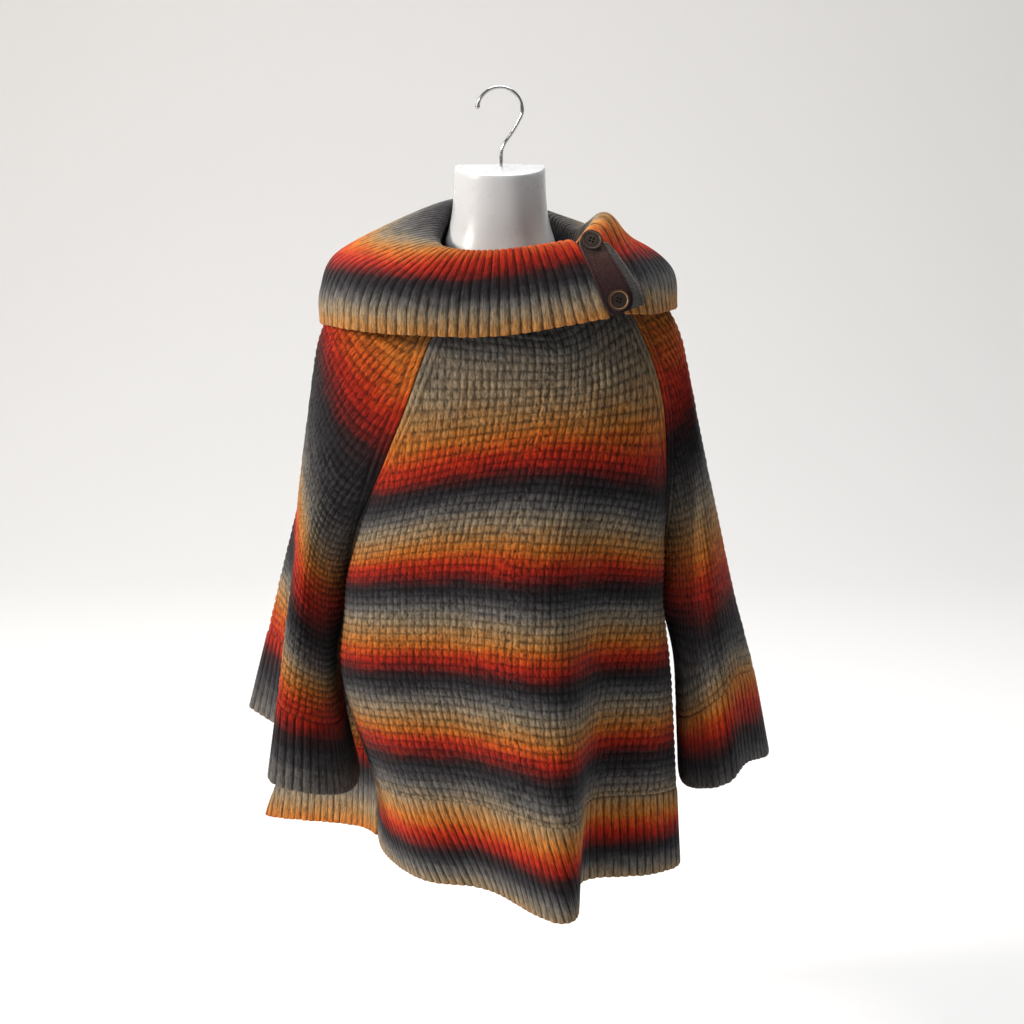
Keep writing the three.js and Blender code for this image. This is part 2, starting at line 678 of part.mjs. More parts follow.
// A button: a turned disc with a raised rim, four holes, facing away from the strap.
const button = { radius: 12, thickness: 3.2, rim: 2.6, dish: 1, holeRadius: 1.2, holeSpread: 2.6 };
function buttonGeometry({ s, t, lift }) {
  const { radius, thickness, rim, dish, holeRadius, holeSpread } = button;
  const profile = [
    [0, 0], [radius - 1, 0], [radius, 1], [radius, thickness - 0.8], [radius - 0.8, thickness],
    [radius - rim + 0.6, thickness], [radius - rim, thickness - dish], [0, thickness - dish],
  ].map(([x, y]) => new THREE.Vector2(x, y));
  const lathe = new THREE.LatheGeometry(profile, 24);
  let solid = solidFrom(lathe);
  for (const [x, z] of [[1, 1], [1, -1], [-1, 1], [-1, -1]])
    solid = solid.subtract(
      wasm.Manifold.cylinder(thickness * 3, holeRadius, holeRadius, 8)
        .rotate([90, 0, 0])
        .translate([(x * holeSpread) / 1.4, thickness * 2, (z * holeSpread) / 1.4]),
    );
  const geometry = geometryFrom(solid);
  const away = patchOutward(s, t);
  const turn = new THREE.Quaternion().setFromUnitVectors(new THREE.Vector3(0, 1, 0), away);
  geometry.applyQuaternion(turn);
  const seat = patchPoint(s, t).addScaledVector(away, strapLift + lift);
  geometry.translate(seat.x, seat.y, seat.z);
  return geometry;
}
const strapLift = strapThickness + 0.5;

// The torso form has no limbs. Level sections make its neck and its trunk, flat
// behind and rounded in front; its shoulders follow the yoke from within.
const neckSections = [
  { z: -88, half: 50, fore: 61, aft: 14 },
  { z: -91, half: 52, fore: 63, aft: 15 },
  { z: -115, half: 53, fore: 63, aft: 15 },
  { z: -140, half: 55, fore: 64, aft: 16 },
  { z: -158, half: 58.5, fore: 66, aft: 18 },
  { z: -172, half: 63, fore: 69, aft: 21 },
  { z: -185, half: 66, fore: 72, aft: 26 },
];
const shoulderRows = [4, 30, 58, 84, 108];
const trunkSections = [
  { z: -350, half: 176, fore: 110, aft: 50 },
  { z: -400, half: 164, fore: 113, aft: 50 },
  { z: -460, half: 144, fore: 105, aft: 50 },
  { z: -520, half: 133, fore: 95, aft: 50 },
  { z: -590, half: 130, fore: 90, aft: 50 },
  { z: -680, half: 138, fore: 95, aft: 50 },
  { z: -760, half: 146, fore: 98, aft: 50 },
  { z: -792, half: 144, fore: 96, aft: 48 },
  { z: -800, half: 134, fore: 88, aft: 42 },
];
const neckTilt = 0.06;
const formInset = 5.5;
function yokePoint(row, angle) {
  const plan = capePlan(row, angle);
  return new THREE.Vector3(plan.x, plan.y, rowHeight(row, angle));
}
function shoulderPoint(row, angle) {
  const round = yokePoint(row, angle + 3).sub(yokePoint(row, angle - 3));
  const down = yokePoint(row + 6, angle).sub(yokePoint(row - 6, angle));
  return yokePoint(row, angle).addScaledVector(round.cross(down).normalize(), -formInset);
}
function levelPoint(section, angle, tilt) {
  const [c, s] = [Math.cos(angle * degrees), Math.sin(angle * degrees)];
  const inFront = s > 0;
  const x = section.half * Math.sign(c) * Math.abs(c) ** (inFront ? 0.86 : 0.6);
  const y = -(inFront ? section.fore : section.aft) * Math.sign(s) * Math.abs(s) ** (inFront ? 0.86 : 0.45);
  return new THREE.Vector3(x, y, section.z + tilt * y);
}
function formGeometry() {
  const angles = range(30).slice(0, -1).map((share) => 360 * share);
  const rings = [
    ...neckSections.map((section, k) => angles.map((a) => levelPoint(section, a, k < 2 ? neckTilt : 0))),
    ...shoulderRows.map((row) => angles.map((a) => shoulderPoint(row, a))),
    ...trunkSections.map((section) => angles.map((a) => levelPoint(section, a, 0))),
  ];
  const wall = new WallBuilder();
  const closed = rings.map((r) => [...r, r[0]]);
  wall.sheet(closed, false);
  const cap = (ring, flip) => {
    const centre = ring.reduce((a, p) => a.add(p), new THREE.Vector3()).divideScalar(ring.length);
    ring.forEach((p, i) => {
      const q = ring[(i + 1) % ring.length];
      if (flip) wall.triangle(centre, q, p);
      else wall.triangle(centre, p, q);
    });
  };
  cap(rings[0], true);
  cap(rings.at(-1), false);
  const seat = wasm.Manifold.cylinder(60, hookWire / 2 + 0.4, hookWire / 2 + 0.4, 16);
  const bored = seat.translate([hookFoot.x, hookFoot.y, hookFoot.z - 0.5]);
  return geometryFrom(solidFrom(wall.geometry()).subtract(bored));
}

// The hook: a wire bow that closes over a rail, and a stem let into the neck.
const hookBow = { radius: 23.6 };
const hookFoot = new THREE.Vector3(1.5, 0, -112);
function hookGeometry() {
  const bowZ = -hookBow.radius;
  const path = [];
  for (let angle = 172; angle >= -22; angle -= 15)
    path.push([hookBow.radius + hookWire / 2, angle]);
  const points = path.map(([r, angle]) => {
    const turn = angle * degrees;
    return [r * Math.cos(turn), 0, bowZ + r * Math.sin(turn)];
  });
  points.push([18, 0, -43], [11, 0, -54], [4.5, 0, -64], [1.9, 0, -72], [1.5, 0, -82]);
  points.push([hookFoot.x, 0, hookFoot.z]);
  const curve = new THREE.CatmullRomCurve3(points.map((p) => new THREE.Vector3(...p)), false, "centripetal");
  const steps = 30;
  const around = 8;
  const frames = range(steps).map((s) => {
    const centre = curve.getPointAt(s);
    const ahead = curve.getTangentAt(s);
    const side = new THREE.Vector3(0, 1, 0);
    const up = ahead.clone().cross(side).normalize();
    return { centre, ahead, side, up };
  });
  const ring = ({ centre, side, up }, radius) =>
    range(around).slice(0, -1).map((share) => {
      const turn = 2 * Math.PI * share;
      const point = centre.clone().addScaledVector(side, radius * Math.cos(turn));
      return point.addScaledVector(up, radius * Math.sin(turn));
    });
  const rings = frames.map((f) => ring(f, hookWire / 2));
  const wall = new WallBuilder();
  wall.sheet(rings.map((r) => [...r, r[0]]), false);
  const end = (r, centre, flip) =>
    r.forEach((p, i) => {
      const q = r[(i + 1) % r.length];
      if (flip) wall.triangle(centre, q, p);
      else wall.triangle(centre, p, q);
    });
  end(rings[0], frames[0].centre, true);
  end(rings.at(-1), frames.at(-1).centre, false);
  const wire = solidFrom(wall.geometry());
  const tip = wasm.Manifold.sphere(hookWire * 0.72, 12).translate(frames[0].centre.toArray());
  return geometryFrom(wire.add(tip));
}

const woolBody = "#8a6a4a";
const woolSleeve = "#7b6450";
const woolRib = "#80684e";
const bandRows = (from, to) => [from + 0.6, from + 6, to];
const hemRows = bandRows(ribTopRow, hemRow);
const cuffRows = bandRows(cuffTopRow, cuffRow);
const buttonTop = { s: 0.16, t: 0.5, lift: 0.7 };
const buttonLow = { s: 0.86, t: 0.5, lift: 0.35 };

const scene = new THREE.Group();
scene.add(
  part("front", panelGeometry("front", bodyRows), woolBody, 0.95),
  part("back", panelGeometry("back", bodyRows), woolBody, 0.95),
  part("sleeve_right", panelGeometry("sleeve_right", sleeveRows), woolSleeve, 0.95),
  part("sleeve_left", panelGeometry("sleeve_left", sleeveRows), woolSleeve, 0.95),
  part("hem_rib_front", ribGeometry("front", hemRows, hemRibsFront, false), woolRib, 0.95),
  part("hem_rib_back", ribGeometry("back", hemRows, hemRibsBack, false), woolRib, 0.95),
  part("cuff_right", ribGeometry("sleeve_right", cuffRows, cuffRibs, true), woolRib, 0.95),
  part("cuff_left", ribGeometry("sleeve_left", cuffRows, cuffRibs, true), woolRib, 0.95),
  part("collar", collarGeometry(), woolRib, 0.95),
  part("strap", patchGeometry(strapSpan, strapLift, strapThickness), "#3a2422", 0.9),
  part("under_tab", patchGeometry(tabSpan, 0, tabThickness), "#8d8a86", 0.9),
  part("button_top", buttonGeometry(buttonTop), "#3b2a22", 0.4),
  part("button_low", buttonGeometry(buttonLow), "#5a4228", 0.4),
  part("form", formGeometry(), "#f4f3f0", 0.2),
  part("hook", hookGeometry(), "#c9cbcd", 0.2, 1),
);

export default scene;
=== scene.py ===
# Knitted poncho sweater on a hanging dress form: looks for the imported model.
# Cloth sizes are millimetres in the tables, and metres once a mesh is made.
import math
import json
import bpy
import numpy as np
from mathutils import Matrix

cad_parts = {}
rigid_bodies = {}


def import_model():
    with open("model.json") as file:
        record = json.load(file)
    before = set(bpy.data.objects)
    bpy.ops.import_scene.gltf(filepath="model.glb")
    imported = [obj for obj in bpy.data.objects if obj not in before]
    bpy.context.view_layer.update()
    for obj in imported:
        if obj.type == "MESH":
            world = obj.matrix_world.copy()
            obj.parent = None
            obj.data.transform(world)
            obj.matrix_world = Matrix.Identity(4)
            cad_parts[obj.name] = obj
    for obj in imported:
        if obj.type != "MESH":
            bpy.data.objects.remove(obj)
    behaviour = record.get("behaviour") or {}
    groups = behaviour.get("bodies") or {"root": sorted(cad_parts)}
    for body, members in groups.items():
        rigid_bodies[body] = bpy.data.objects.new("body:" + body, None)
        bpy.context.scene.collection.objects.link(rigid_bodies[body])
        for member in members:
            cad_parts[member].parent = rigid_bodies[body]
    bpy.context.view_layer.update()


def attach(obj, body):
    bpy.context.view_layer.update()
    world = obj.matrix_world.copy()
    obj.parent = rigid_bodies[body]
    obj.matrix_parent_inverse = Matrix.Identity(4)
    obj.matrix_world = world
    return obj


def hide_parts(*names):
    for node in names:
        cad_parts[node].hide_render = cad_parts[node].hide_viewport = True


for thing in list(bpy.data.objects):
    bpy.data.objects.remove(thing)
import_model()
print("model loaded")

# the cloth as the solids have it
wallThickness = 3.0
seamGap = 0.3
underarmRow = 360
cleftStartRow = 110
ribTopRow = 590
hemRow = 690
cuffTopRow = 540
cuffRow = 640
underarmGap = 9
drawBack = 0.8
handover = 30
leftSleeveDrop = 24
foldGrowth = 1.15
capeSquareness = 0.84
bodySquareness = 0.62

raglan = {
    "row": [0, 60, 110, 150, 200, 280, 360],
    "frontLeft": [48, 24, 25, 27, 29, 30, 30],
    "frontRight": [120, 117, 117, 119, 122, 128, 130],
    "backRight": [218, 212, 210, 210, 210, 210, 210],
    "backLeft": [307, 307, 307, 307, 307, 307, 307],
}
height = {
    "row": [0, 60, 110, 150, 200, 280, 360, 450, 590, 690],
    "front": [-234, -272, -319, -357, -406, -486, -566, -657, -802, -905],
    "rightSeam": [-212, -256, -318, -374, -441, -524, -588, -672, -812, -908],
    "leftSeam": [-206, -232, -290, -350, -430, -522, -588, -672, -812, -908],
    "ridge": [-193, -215, -241, -273, -320, -400, -480, -570, -712, -812],
    "backSeam": [-192, -234, -286, -336, -402, -500, -588, -672, -812, -908],
    "back": [-176, -232, -282, -322, -374, -462, -556, -660, -820, -922],
}
sleeveSeam = {"row": [360, 450, 540, 640], "z": [-588, -664, -738, -820]}
cape = {
    "row": [0, 60, 110, 150, 200, 280, 360],
    "right": [82, 138, 185, 205, 218, 230, 239],
    "left": [84, 144, 184, 206, 219, 237, 255],
    "front": [86, 106, 117, 126, 134, 140, 144],
    "back": [58, 78, 86, 92, 98, 106, 116],
}
body = {
    "row": [360, 450, 590, 690],
    "rightX": [-178, -166, -150, -150],
    "leftX": [186, 190, 204, 212],
    "rightY": [4, 20, 56, 30],
    "leftY": [2, 4, 6, 10],
    "front": [144, 146, 148, 150],
    "back": [116, 126, 150, 172],
    "fullRight": [20, 46, 22, 0],
    "fullLeft": [22, 30, 16, 6],
}
sleevePlan = {
    "right": {
        "row": [360, 450, 540, 640],
        "inner": [-178, -195, -188, -170],
        "outer": [-239, -248, -254, -262],
        "fore": [98, 108, 114, 120],
        "aft": [78, 76, 76, 76],
        "y": [4, 4, 2, 0],
        "flare": [22, 4, 0, 0],
    },
    "left": {
        "row": [360, 450, 540, 640],
        "inner": [186, 206, 212, 216],
        "outer": [255, 275, 299, 319],
        "fore": [88, 98, 106, 112],
        "aft": [84, 90, 92, 96],
        "y": [2, 4, 4, 4],
        "flare": [22, 4, 0, 0],
    },
}
# a fold: its share of the row, spread, push x, y, z, and the row it starts from
folds = {
    "front": [
        (0.56, 0.085, 10, -96, -13, 190),
        (0.675, 0.045, -42, 44, 0, 190),
        (0.09, 0.09, 12, 8, 0, 470),
        (0.3, 0.06, -4, -12, 0, 240),
        (0.43, 0.05, 0, 12, 0, 260),
        (0.9, 0.05, 8, -10, 0, 400),
    ],
    "back": [
        (0.12, 0.06, -132, 40, -18, 330),
        (0.24, 0.075, -186, 62, -20, 330),
        (0.36, 0.06, 4, -22, 0, 260),
        (0.5, 0.07, 0, 34, 0, 220),
        (0.64, 0.06, -4, -24, 0, 260),
        (0.8, 0.08, 16, 30, 0, 300),
    ],
    "sleeveRight": [
        (0.3, 0.075, -36, -4, 0, 330),
        (0.46, 0.045, 18, 0, 0, 330),
        (0.67, 0.08, -68, 4, 8, 330),
    ],
    "sleeveLeft": [
        (0.52, 0.08, 4, 0, 0, 300),
        (0.36, 0.06, -10, 12, 6, 300),
        (0.24, 0.05, 2, -8, 0, 330),
        (0.72, 0.06, -10, -6, 0, 300),
    ],
}
foldBottom = {"front": hemRow, "back": hemRow, "sleeveRight": cuffRow, "sleeveLeft": cuffRow}
panels = {
    "front": {"start": "frontRight", "end": "frontLeft", "wrap": 0, "flipped": False, "side": None},
    "back": {"start": "backRight", "end": "backLeft", "wrap": 0, "flipped": True, "side": None},
    "sleeveRight": {"start": "frontRight", "end": "backRight", "wrap": 0, "flipped": True, "side": "right"},
    "sleeveLeft": {"start": "frontLeft", "end": "backLeft", "wrap": -360, "flipped": False, "side": "left"},
}
# what each panel's two edges are sewn to, above and below the underarm
partners = {
    "front": [("sleeveRight", 0, "back", 0), ("sleeveLeft", 0, "back", 1)],
    "back": [("sleeveRight", 1, "front", 0), ("sleeveLeft", 1, "front", 1)],
    "sleeveRight": [("front", 0, "sleeveRight", 1), ("back", 0, "sleeveRight", 0)],
    "sleeveLeft": [("front", 1, "sleeveLeft", 1), ("back", 1, "sleeveLeft", 0)],
}


def hermite(t, span, a, b, slopeA, slopeB):
    held = (2 * t ** 3 - 3 * t ** 2 + 1) * a + (3 * t ** 2 - 2 * t ** 3) * b
    return held + span * ((t ** 3 - 2 * t ** 2 + t) * slopeA + (t ** 3 - t ** 2) * slopeB)


def readCurve(table, key, name, x):
    # a smooth curve through one named column of a table
    keys = np.array(table[key], float)
    values = np.array(table[name], float)
    last = len(keys) - 1
    after = np.minimum(np.arange(last + 1) + 1, last)
    before = np.maximum(np.arange(last + 1) - 1, 0)
    slope = (values[after] - values[before]) / (keys[after] - keys[before])
    x = np.asarray(x, float)
    i = np.clip(np.searchsorted(keys, x, side="right") - 1, 0, last - 1)
    span = keys[i + 1] - keys[i]
    t = np.clip((x - keys[i]) / span, 0, 1)
    return hermite(t, span, values[i], values[i + 1], slope[i], slope[i + 1])


def ease(x):
    x = np.clip(x, 0, 1)
    return x * x * (3 - 2 * x)


def mix(a, b, t):
    return a + (b - a) * t


def unit(v):
    return v / np.maximum(np.linalg.norm(v, axis=-1, keepdims=True), 1e-9)


def signedPower(x, p):
    return np.sign(x) * np.abs(x) ** p


def parting(row):
    return ease((row - cleftStartRow) / (underarmRow - cleftStartRow))


def capePlan(row, angle):
    c = np.cos(np.radians(angle))
    s = np.sin(np.radians(angle))
    reachX = np.where(c > 0, readCurve(cape, "row", "left", row), readCurve(cape, "row", "right", row))
    reachY = np.where(s > 0, readCurve(cape, "row", "front", row), readCurve(cape, "row", "back", row))
    return reachX * signedPower(c, capeSquareness), -reachY * signedPower(s, capeSquareness)


def bodyPlan(panel, row, t):
    turn = np.pi * t
    below = row > underarmRow
    low = np.maximum(row, underarmRow)
    if panel == "front":
        middle = np.where(below, -readCurve(body, "row", "front", row),
                          -readCurve(cape, "row", "front", row))
    else:
        middle = np.where(below, readCurve(body, "row", "back", row), readCurve(cape, "row", "back", row))
    full = np.where(t < 0.5, readCurve(body, "row", "fullRight", low),
                    readCurve(body, "row", "fullLeft", low))
    full = full * ease(np.minimum(t, 1 - t) / 0.12)
    across = (1 - np.cos(turn)) / 2
    seamY = mix(readCurve(body, "row", "rightY", low), readCurve(body, "row", "leftY", low), across)
    x = mix(readCurve(body, "row", "rightX", low), readCurve(body, "row", "leftX", low), across)
    rise = np.clip(np.sin(turn), 0, 1) ** bodySquareness
    return x - full * np.sin(2 * turn), mix(seamY, middle, rise)


def sleeveTube(side, row, t):
    plan = sleevePlan[side]
    turn = 2 * np.pi * t
    low = np.maximum(row, underarmRow)
    capeReach = readCurve(cape, "row", side, row) * (-1 if side == "right" else 1)
    inner = readCurve(plan, "row", "inner", low)
    outer = np.where(row > underarmRow, readCurve(plan, "row", "outer", row), capeReach)
    reach = np.where(t < 0.5, readCurve(plan, "row", "fore", low), readCurve(plan, "row", "aft", low))
    flare = np.sign(inner) * readCurve(plan, "row", "flare", low) * np.abs(np.sin(turn)) ** 1.2
    x = mix(inner, outer, (1 - np.cos(turn)) / 2) + flare * (1 + np.cos(turn)) / 1.6
    return x, readCurve(plan, "row", "y", low) - reach * signedPower(np.sin(turn), 0.8)


def rowHeight(row, angle, side):
    at = np.minimum(row, underarmRow)
    seams = {name: readCurve(raglan, "row", name, at) for name in raglan if name != "row"}
    drop = leftSleeveDrop * np.clip(row / cuffRow, 0, 1) ** 2 if side == "left" else 0
    ridge = readCurve(height, "row", "ridge", row) - drop
    edges = {name: readCurve(height, "row", name, row) for name in ("rightSeam", "leftSeam", "backSeam")}
    if side:
        low = readCurve(sleeveSeam, "row", "z", row)
        edges = {name: np.where(row > underarmRow, low, z) for name, z in edges.items()}
    stops = [
        (0 * row, ridge),
        (seams["frontLeft"], edges["leftSeam"]),
        ((seams["frontLeft"] + seams["frontRight"]) / 2, readCurve(height, "row", "front", row)),
        (seams["frontRight"], edges["rightSeam"]),
        (0 * row + 180, ridge),
        (seams["backRight"], edges["backSeam"]),
        ((seams["backRight"] + seams["backLeft"]) / 2, readCurve(height, "row", "back", row)),
        (seams["backLeft"], edges["backSeam"]),
        (0 * row + 360, ridge),
    ]
    at = np.mod(angle, 360)
    z = np.zeros(np.broadcast(row, angle).shape)
    for (a, za), (b, zb) in zip(stops, stops[1:]):
        z = np.where((at >= a) & (at <= b), mix(za, zb, ease((at - a) / (b - a))), z)
    return z


def rawPoint(panel, row, t):
    how = panels[panel]
    row, t = np.broadcast_arrays(np.asarray(row, float), np.asarray(t, float))
    at = np.minimum(row, underarmRow)
    start = readCurve(raglan, "row", how["start"], at)
    end = readCurve(raglan, "row", how["end"], at) + how["wrap"]
    angle = mix(start, end, t)
    capeX, capeY = capePlan(at, angle)
    tubeX, tubeY = sleeveTube(how["side"], row, t) if how["side"] else bodyPlan(panel, row, t)
    x = mix(capeX, tubeX, parting(row))
    y = mix(capeY, tubeY, parting(row))
    # the clefts' ends stay a little apart at the underarm
    reached = parting(row) * (1 - ease((row - underarmRow) / 40))
    edge = np.exp(-((np.minimum(t, 1 - t) / 0.06) ** 2))
    isBody = panel in ("front", "back")
    isFore = np.full(t.shape, panel == "front") if isBody else t < 0.5
    onRight = t < 0.5 if isBody else np.full(t.shape, panel == "sleeveRight")
    x = x + np.where(onRight == isBody, 1, -1) * drawBack * reached ** 4 * edge
    y = y + np.where(isFore, -1, 1) * (underarmGap / 2) * reached * edge
    z = rowHeight(row, angle, how["side"])
    for share, spread, pushX, pushY, pushZ, top in folds[panel]:
        grown = np.clip((row - top) / (foldBottom[panel] - top), 0, 1) ** foldGrowth
        near = np.exp(-(((t - share) / spread) ** 2) / 2) * np.abs(np.sin(np.pi * np.clip(t, 0, 1))) ** 0.3
        x = x + pushX * grown * near
        y = y + pushY * grown * near
        z = z + pushZ * grown * near
    return np.stack([x, y, z], -1)


def rowLengths(panel, rows):
    # cumulative length of each row, so that shares step evenly along the cloth
    steps = np.linspace(0, 1, 161)
    line = rawPoint(panel, np.asarray(rows, float)[:, None], steps[None, :])
    parts = np.linalg.norm(np.diff(line, axis=1), axis=2)
    return np.concatenate([np.zeros((len(line), 1)), np.cumsum(parts, axis=1)], axis=1)


def clothPoint(panel, rows, t):
    # rows is one value a line of t
    lengths = rowLengths(panel, rows)
    steps = np.linspace(0, 1, lengths.shape[1])
    shares = np.empty_like(t)
    for i in range(len(rows)):
        shares[i] = np.interp(np.clip(t[i], 0, 1) * lengths[i, -1], lengths[i], steps)
    return rawPoint(panel, np.asarray(rows, float)[:, None], shares)


def clothOutward(panel, rows, t):
    onward = clothPoint(panel, rows, np.minimum(t + 0.006, 1))
    along = onward - clothPoint(panel, rows, np.maximum(t - 0.006, 0))
    down = clothPoint(panel, rows + 4, t) - clothPoint(panel, np.maximum(rows - 4, 0), t)
    normal = unit(np.cross(along, down))
    return normal if panels[panel]["flipped"] else -normal


def seamOutward(panel, rows, edge):
    # the mean of the two panels that meet, so both edges turn alike
    above, aboveShare, below, belowShare = partners[panel][edge]
    share = ease((rows - underarmRow) / handover)[:, None, None]
    own = clothOutward(panel, rows, np.full((len(rows), 1), float(edge)))
    upper = clothOutward(above, rows, np.full((len(rows), 1), float(aboveShare)))
    lower = clothOutward(below, rows, np.full((len(rows), 1), float(belowShare)))
    return unit(own + upper * (1 - share) + lower * share)


def clothFrame(panel, rows, t, lengths):
    # points and outward directions, with the two edges drawn half a gap inside
    points = clothPoint(panel, rows, t)
    outwardDirection = clothOutward(panel, rows, t)
    for edge in (0, 1):
        away = np.abs(t - edge) * lengths[:, None]
        seam = seamOutward(panel, rows, edge)
        near = np.exp(-((away / 6) ** 2))[..., None]
        outwardDirection = unit(outwardDirection * (1 - near) + seam * near)
        inside = clothPoint(panel, rows, np.full((len(rows), 1), 0.02 if edge == 0 else 0.98)) - points
        inside = unit(inside - seam * np.sum(inside * seam, -1, keepdims=True))
        onSeam = (away < 1e-4)[..., None]
        points = np.where(onSeam, points + inside * seamGap * 0.72, points)
    return points, outwardDirection


def cutSize(points):
    # widest row, middle length and area of a face, in metres
    sides = np.linalg.norm(np.diff(points, axis=1), axis=-1).sum(axis=1)
    length = np.linalg.norm(np.diff(points[:, points.shape[1] // 2], axis=0), axis=-1).sum()
    a = np.cross(points[1:, :-1] - points[:-1, :-1], points[:-1, 1:] - points[:-1, :-1])
    b = np.cross(points[1:, :-1] - points[1:, 1:], points[:-1, 1:] - points[1:, 1:])
    area = (np.linalg.norm(a, axis=-1).sum() + np.linalg.norm(b, axis=-1).sum()) / 2
    return [round(float(v), 3) for v in (sides.max() / 1000, length / 1000, area / 1e6)]


# meshes from rows of points
def gridTriangles(ids):
    a, b, c, d = ids[:-1, :-1], ids[:-1, 1:], ids[1:, 1:], ids[1:, :-1]
    tris = np.concatenate([np.stack([a, b, c], -1).reshape(-1, 3), np.stack([a, c, d], -1).reshape(-1, 3)])
    keep = (tris[:, 0] != tris[:, 1]) & (tris[:, 1] != tris[:, 2]) & (tris[:, 0] != tris[:, 2])
    return tris[keep]


def zipBorders(first, firstAt, second, secondAt, flip):
    tris = []
    i = j = 0
    while i + 1 < len(first) or j + 1 < len(second):
        takeFirst = j + 1 >= len(second) or (i + 1 < len(first) and firstAt[i + 1] <= secondAt[j + 1])
        if takeFirst:
            tri = (first[i], second[j], first[i + 1])
            i += 1
        else:
            tri = (first[i], second[j], second[j + 1])
            j += 1
        if len(set(tri)) == 3:
            tris.append((tri[0], tri[2], tri[1]) if flip else tri)
    return tris


def dropRepeats(ids, at):
    keep = np.concatenate([[True], np.diff(ids) != 0])
    return ids[keep], at[keep]


def closedWall(name, outer, inner):
    # outer and inner: dictionaries of points, ids (merged), share across, and rows
    outerIds = outer["ids"]
    outerPoints = outer["points"].reshape(-1, 3)
    innerPoints = inner["points"].reshape(-1, 3)
    innerIds = inner["ids"] + len(outerPoints)
    tris = [gridTriangles(outerIds), gridTriangles(innerIds)[:, ::-1]]
    for end, flip in [(0, False), (-1, True)]:
        a, atA = dropRepeats(outerIds[end], outer["t"][end])
        b, atB = dropRepeats(innerIds[end], inner["t"][end])
        tris.append(np.array(zipBorders(a, atA, b, atB, flip)))
    for side, flip in [(0, True), (-1, False)]:
        a, b = outerIds[:, side], innerIds[:, side]
        tris.append(np.array(zipBorders(a, outer["rows"], b, inner["rows"], flip)))
    tris = np.concatenate(tris)
    points = np.concatenate([outerPoints, innerPoints]) / 1000
    extras = {}
    for key in ("place", "stripe", "hollow"):
        extras[key] = np.concatenate([outer[key].reshape(len(outerPoints), -1),
                                      inner[key].reshape(len(innerPoints), -1)])
    p = points[tris]
    if np.sum(np.cross(p[:, 0], p[:, 1]) * p[:, 2]) < 0:
        tris = tris[:, ::-1]
    used, compact = np.unique(tris, return_inverse=True)
    return makeMesh(name, points[used], compact.reshape(-1, 3), {k: v[used] for k, v in extras.items()})


def makeMesh(name, points, tris, extras=None):
    mesh = bpy.data.meshes.new(name)
    mesh.vertices.add(len(points))
    mesh.vertices.foreach_set("co", np.ascontiguousarray(points, np.float32).ravel())
    mesh.loops.add(len(tris) * 3)
    mesh.loops.foreach_set("vertex_index", np.ascontiguousarray(tris, np.int32).ravel())
    mesh.polygons.add(len(tris))
    mesh.polygons.foreach_set("loop_start", np.arange(0, len(tris) * 3, 3, dtype=np.int32))
    mesh.polygons.foreach_set("loop_total", np.full(len(tris), 3, np.int32))
    mesh.polygons.foreach_set("use_smooth", np.ones(len(tris), bool))
    mesh.update(calc_edges=True)
    mesh.validate()
    for key, values in (extras or {}).items():
        isNumber = values.shape[1] == 1
        data = mesh.attributes.new(key, "FLOAT" if isNumber else "FLOAT_VECTOR", "POINT").data
        data.foreach_set("value" if isNumber else "vector", values.astype(np.float32).ravel())
    obj = bpy.data.objects.new(name, mesh)
    bpy.context.collection.objects.link(obj)
    print(name, len(tris), "triangles")
    return obj


# self-striping yarn: phase 0 is red, then black, grey, tan, ochre, orange
stripes = {
    "front": {
        "row": [0, 70, 128, 155, 176, 200, 321, 429, 527, 636, 658, 692],
        "phase": [-0.72, -0.6, -0.42, -0.28, -0.14, 0, 1, 2, 3, 4, 4.24, 4.64],
    },
    "back": {
        "row": [0, 160, 270, 377, 486, 595, 640, 690, 710],
        "phase": [-1.4, 0, 1, 2, 3, 4, 4.4, 4.8, 4.96],
    },
    "sleeveRight": {
        "row": [0, 60, 114, 136, 154, 190, 245, 282, 318, 348, 386, 430, 458, 480, 508, 546, 578, 610, 642],
        "phase": [-0.5, -0.3, -0.15, -0.06, 0.04, 0.2, 0.32, 0.46, 0.68, 0.84, 1, 1.22, 1.42, 1.62, 1.84,
                  2, 2.2, 2.34, 2.46],
    },
    "sleeveLeft": {
        "row": [0, 100, 160, 214, 262, 312, 346, 388, 437, 481, 506, 537, 581, 612, 642],
        "phase": [-0.55, -0.3, -0.14, 0, 0.2, 0.4, 0.58, 0.8, 1, 1.22, 1.42, 1.7, 2, 2.22, 2.42],
    },
}


def stripePhase(panel, course):
    return np.interp(course, stripes[panel]["row"], stripes[panel]["phase"])


knit = {"cellWide": 8.4, "cellHigh": 9.0, "samplesAcross": 4, "samplesDown": 4,
        "relief": 1.9, "sink": 0.6, "band": 14.0, "bandSteps": 8, "cord": 7.0, "cordRelief": 1.5,
        "innerColumns": 41, "innerStep": 5}


def scatter(i, j):
    # a fixed scatter value for a cell, 0 to 1
    return np.mod(np.sin(i * 127.1 + j * 311.7) * 43758.5453, 1.0)


def gridIds(t):
    return np.arange(t.size).reshape(t.shape)


def courseAt(panel, rows, points):
    # the left sleeve's courses hang more level than its rows do
    rows = np.broadcast_to(rows[:, None], points.shape[:2])
    if panel != "sleeveLeft":
        return rows
    steps = np.arange(0.0, 541.0, 10)
    ridge = rowHeight(steps, 0 * steps, "left")
    level = np.interp(-points[..., 2], -ridge, steps)
    return mix(rows, level, 0.75 * ease(rows / 60) * ease((cuffTopRow - rows) / 120))


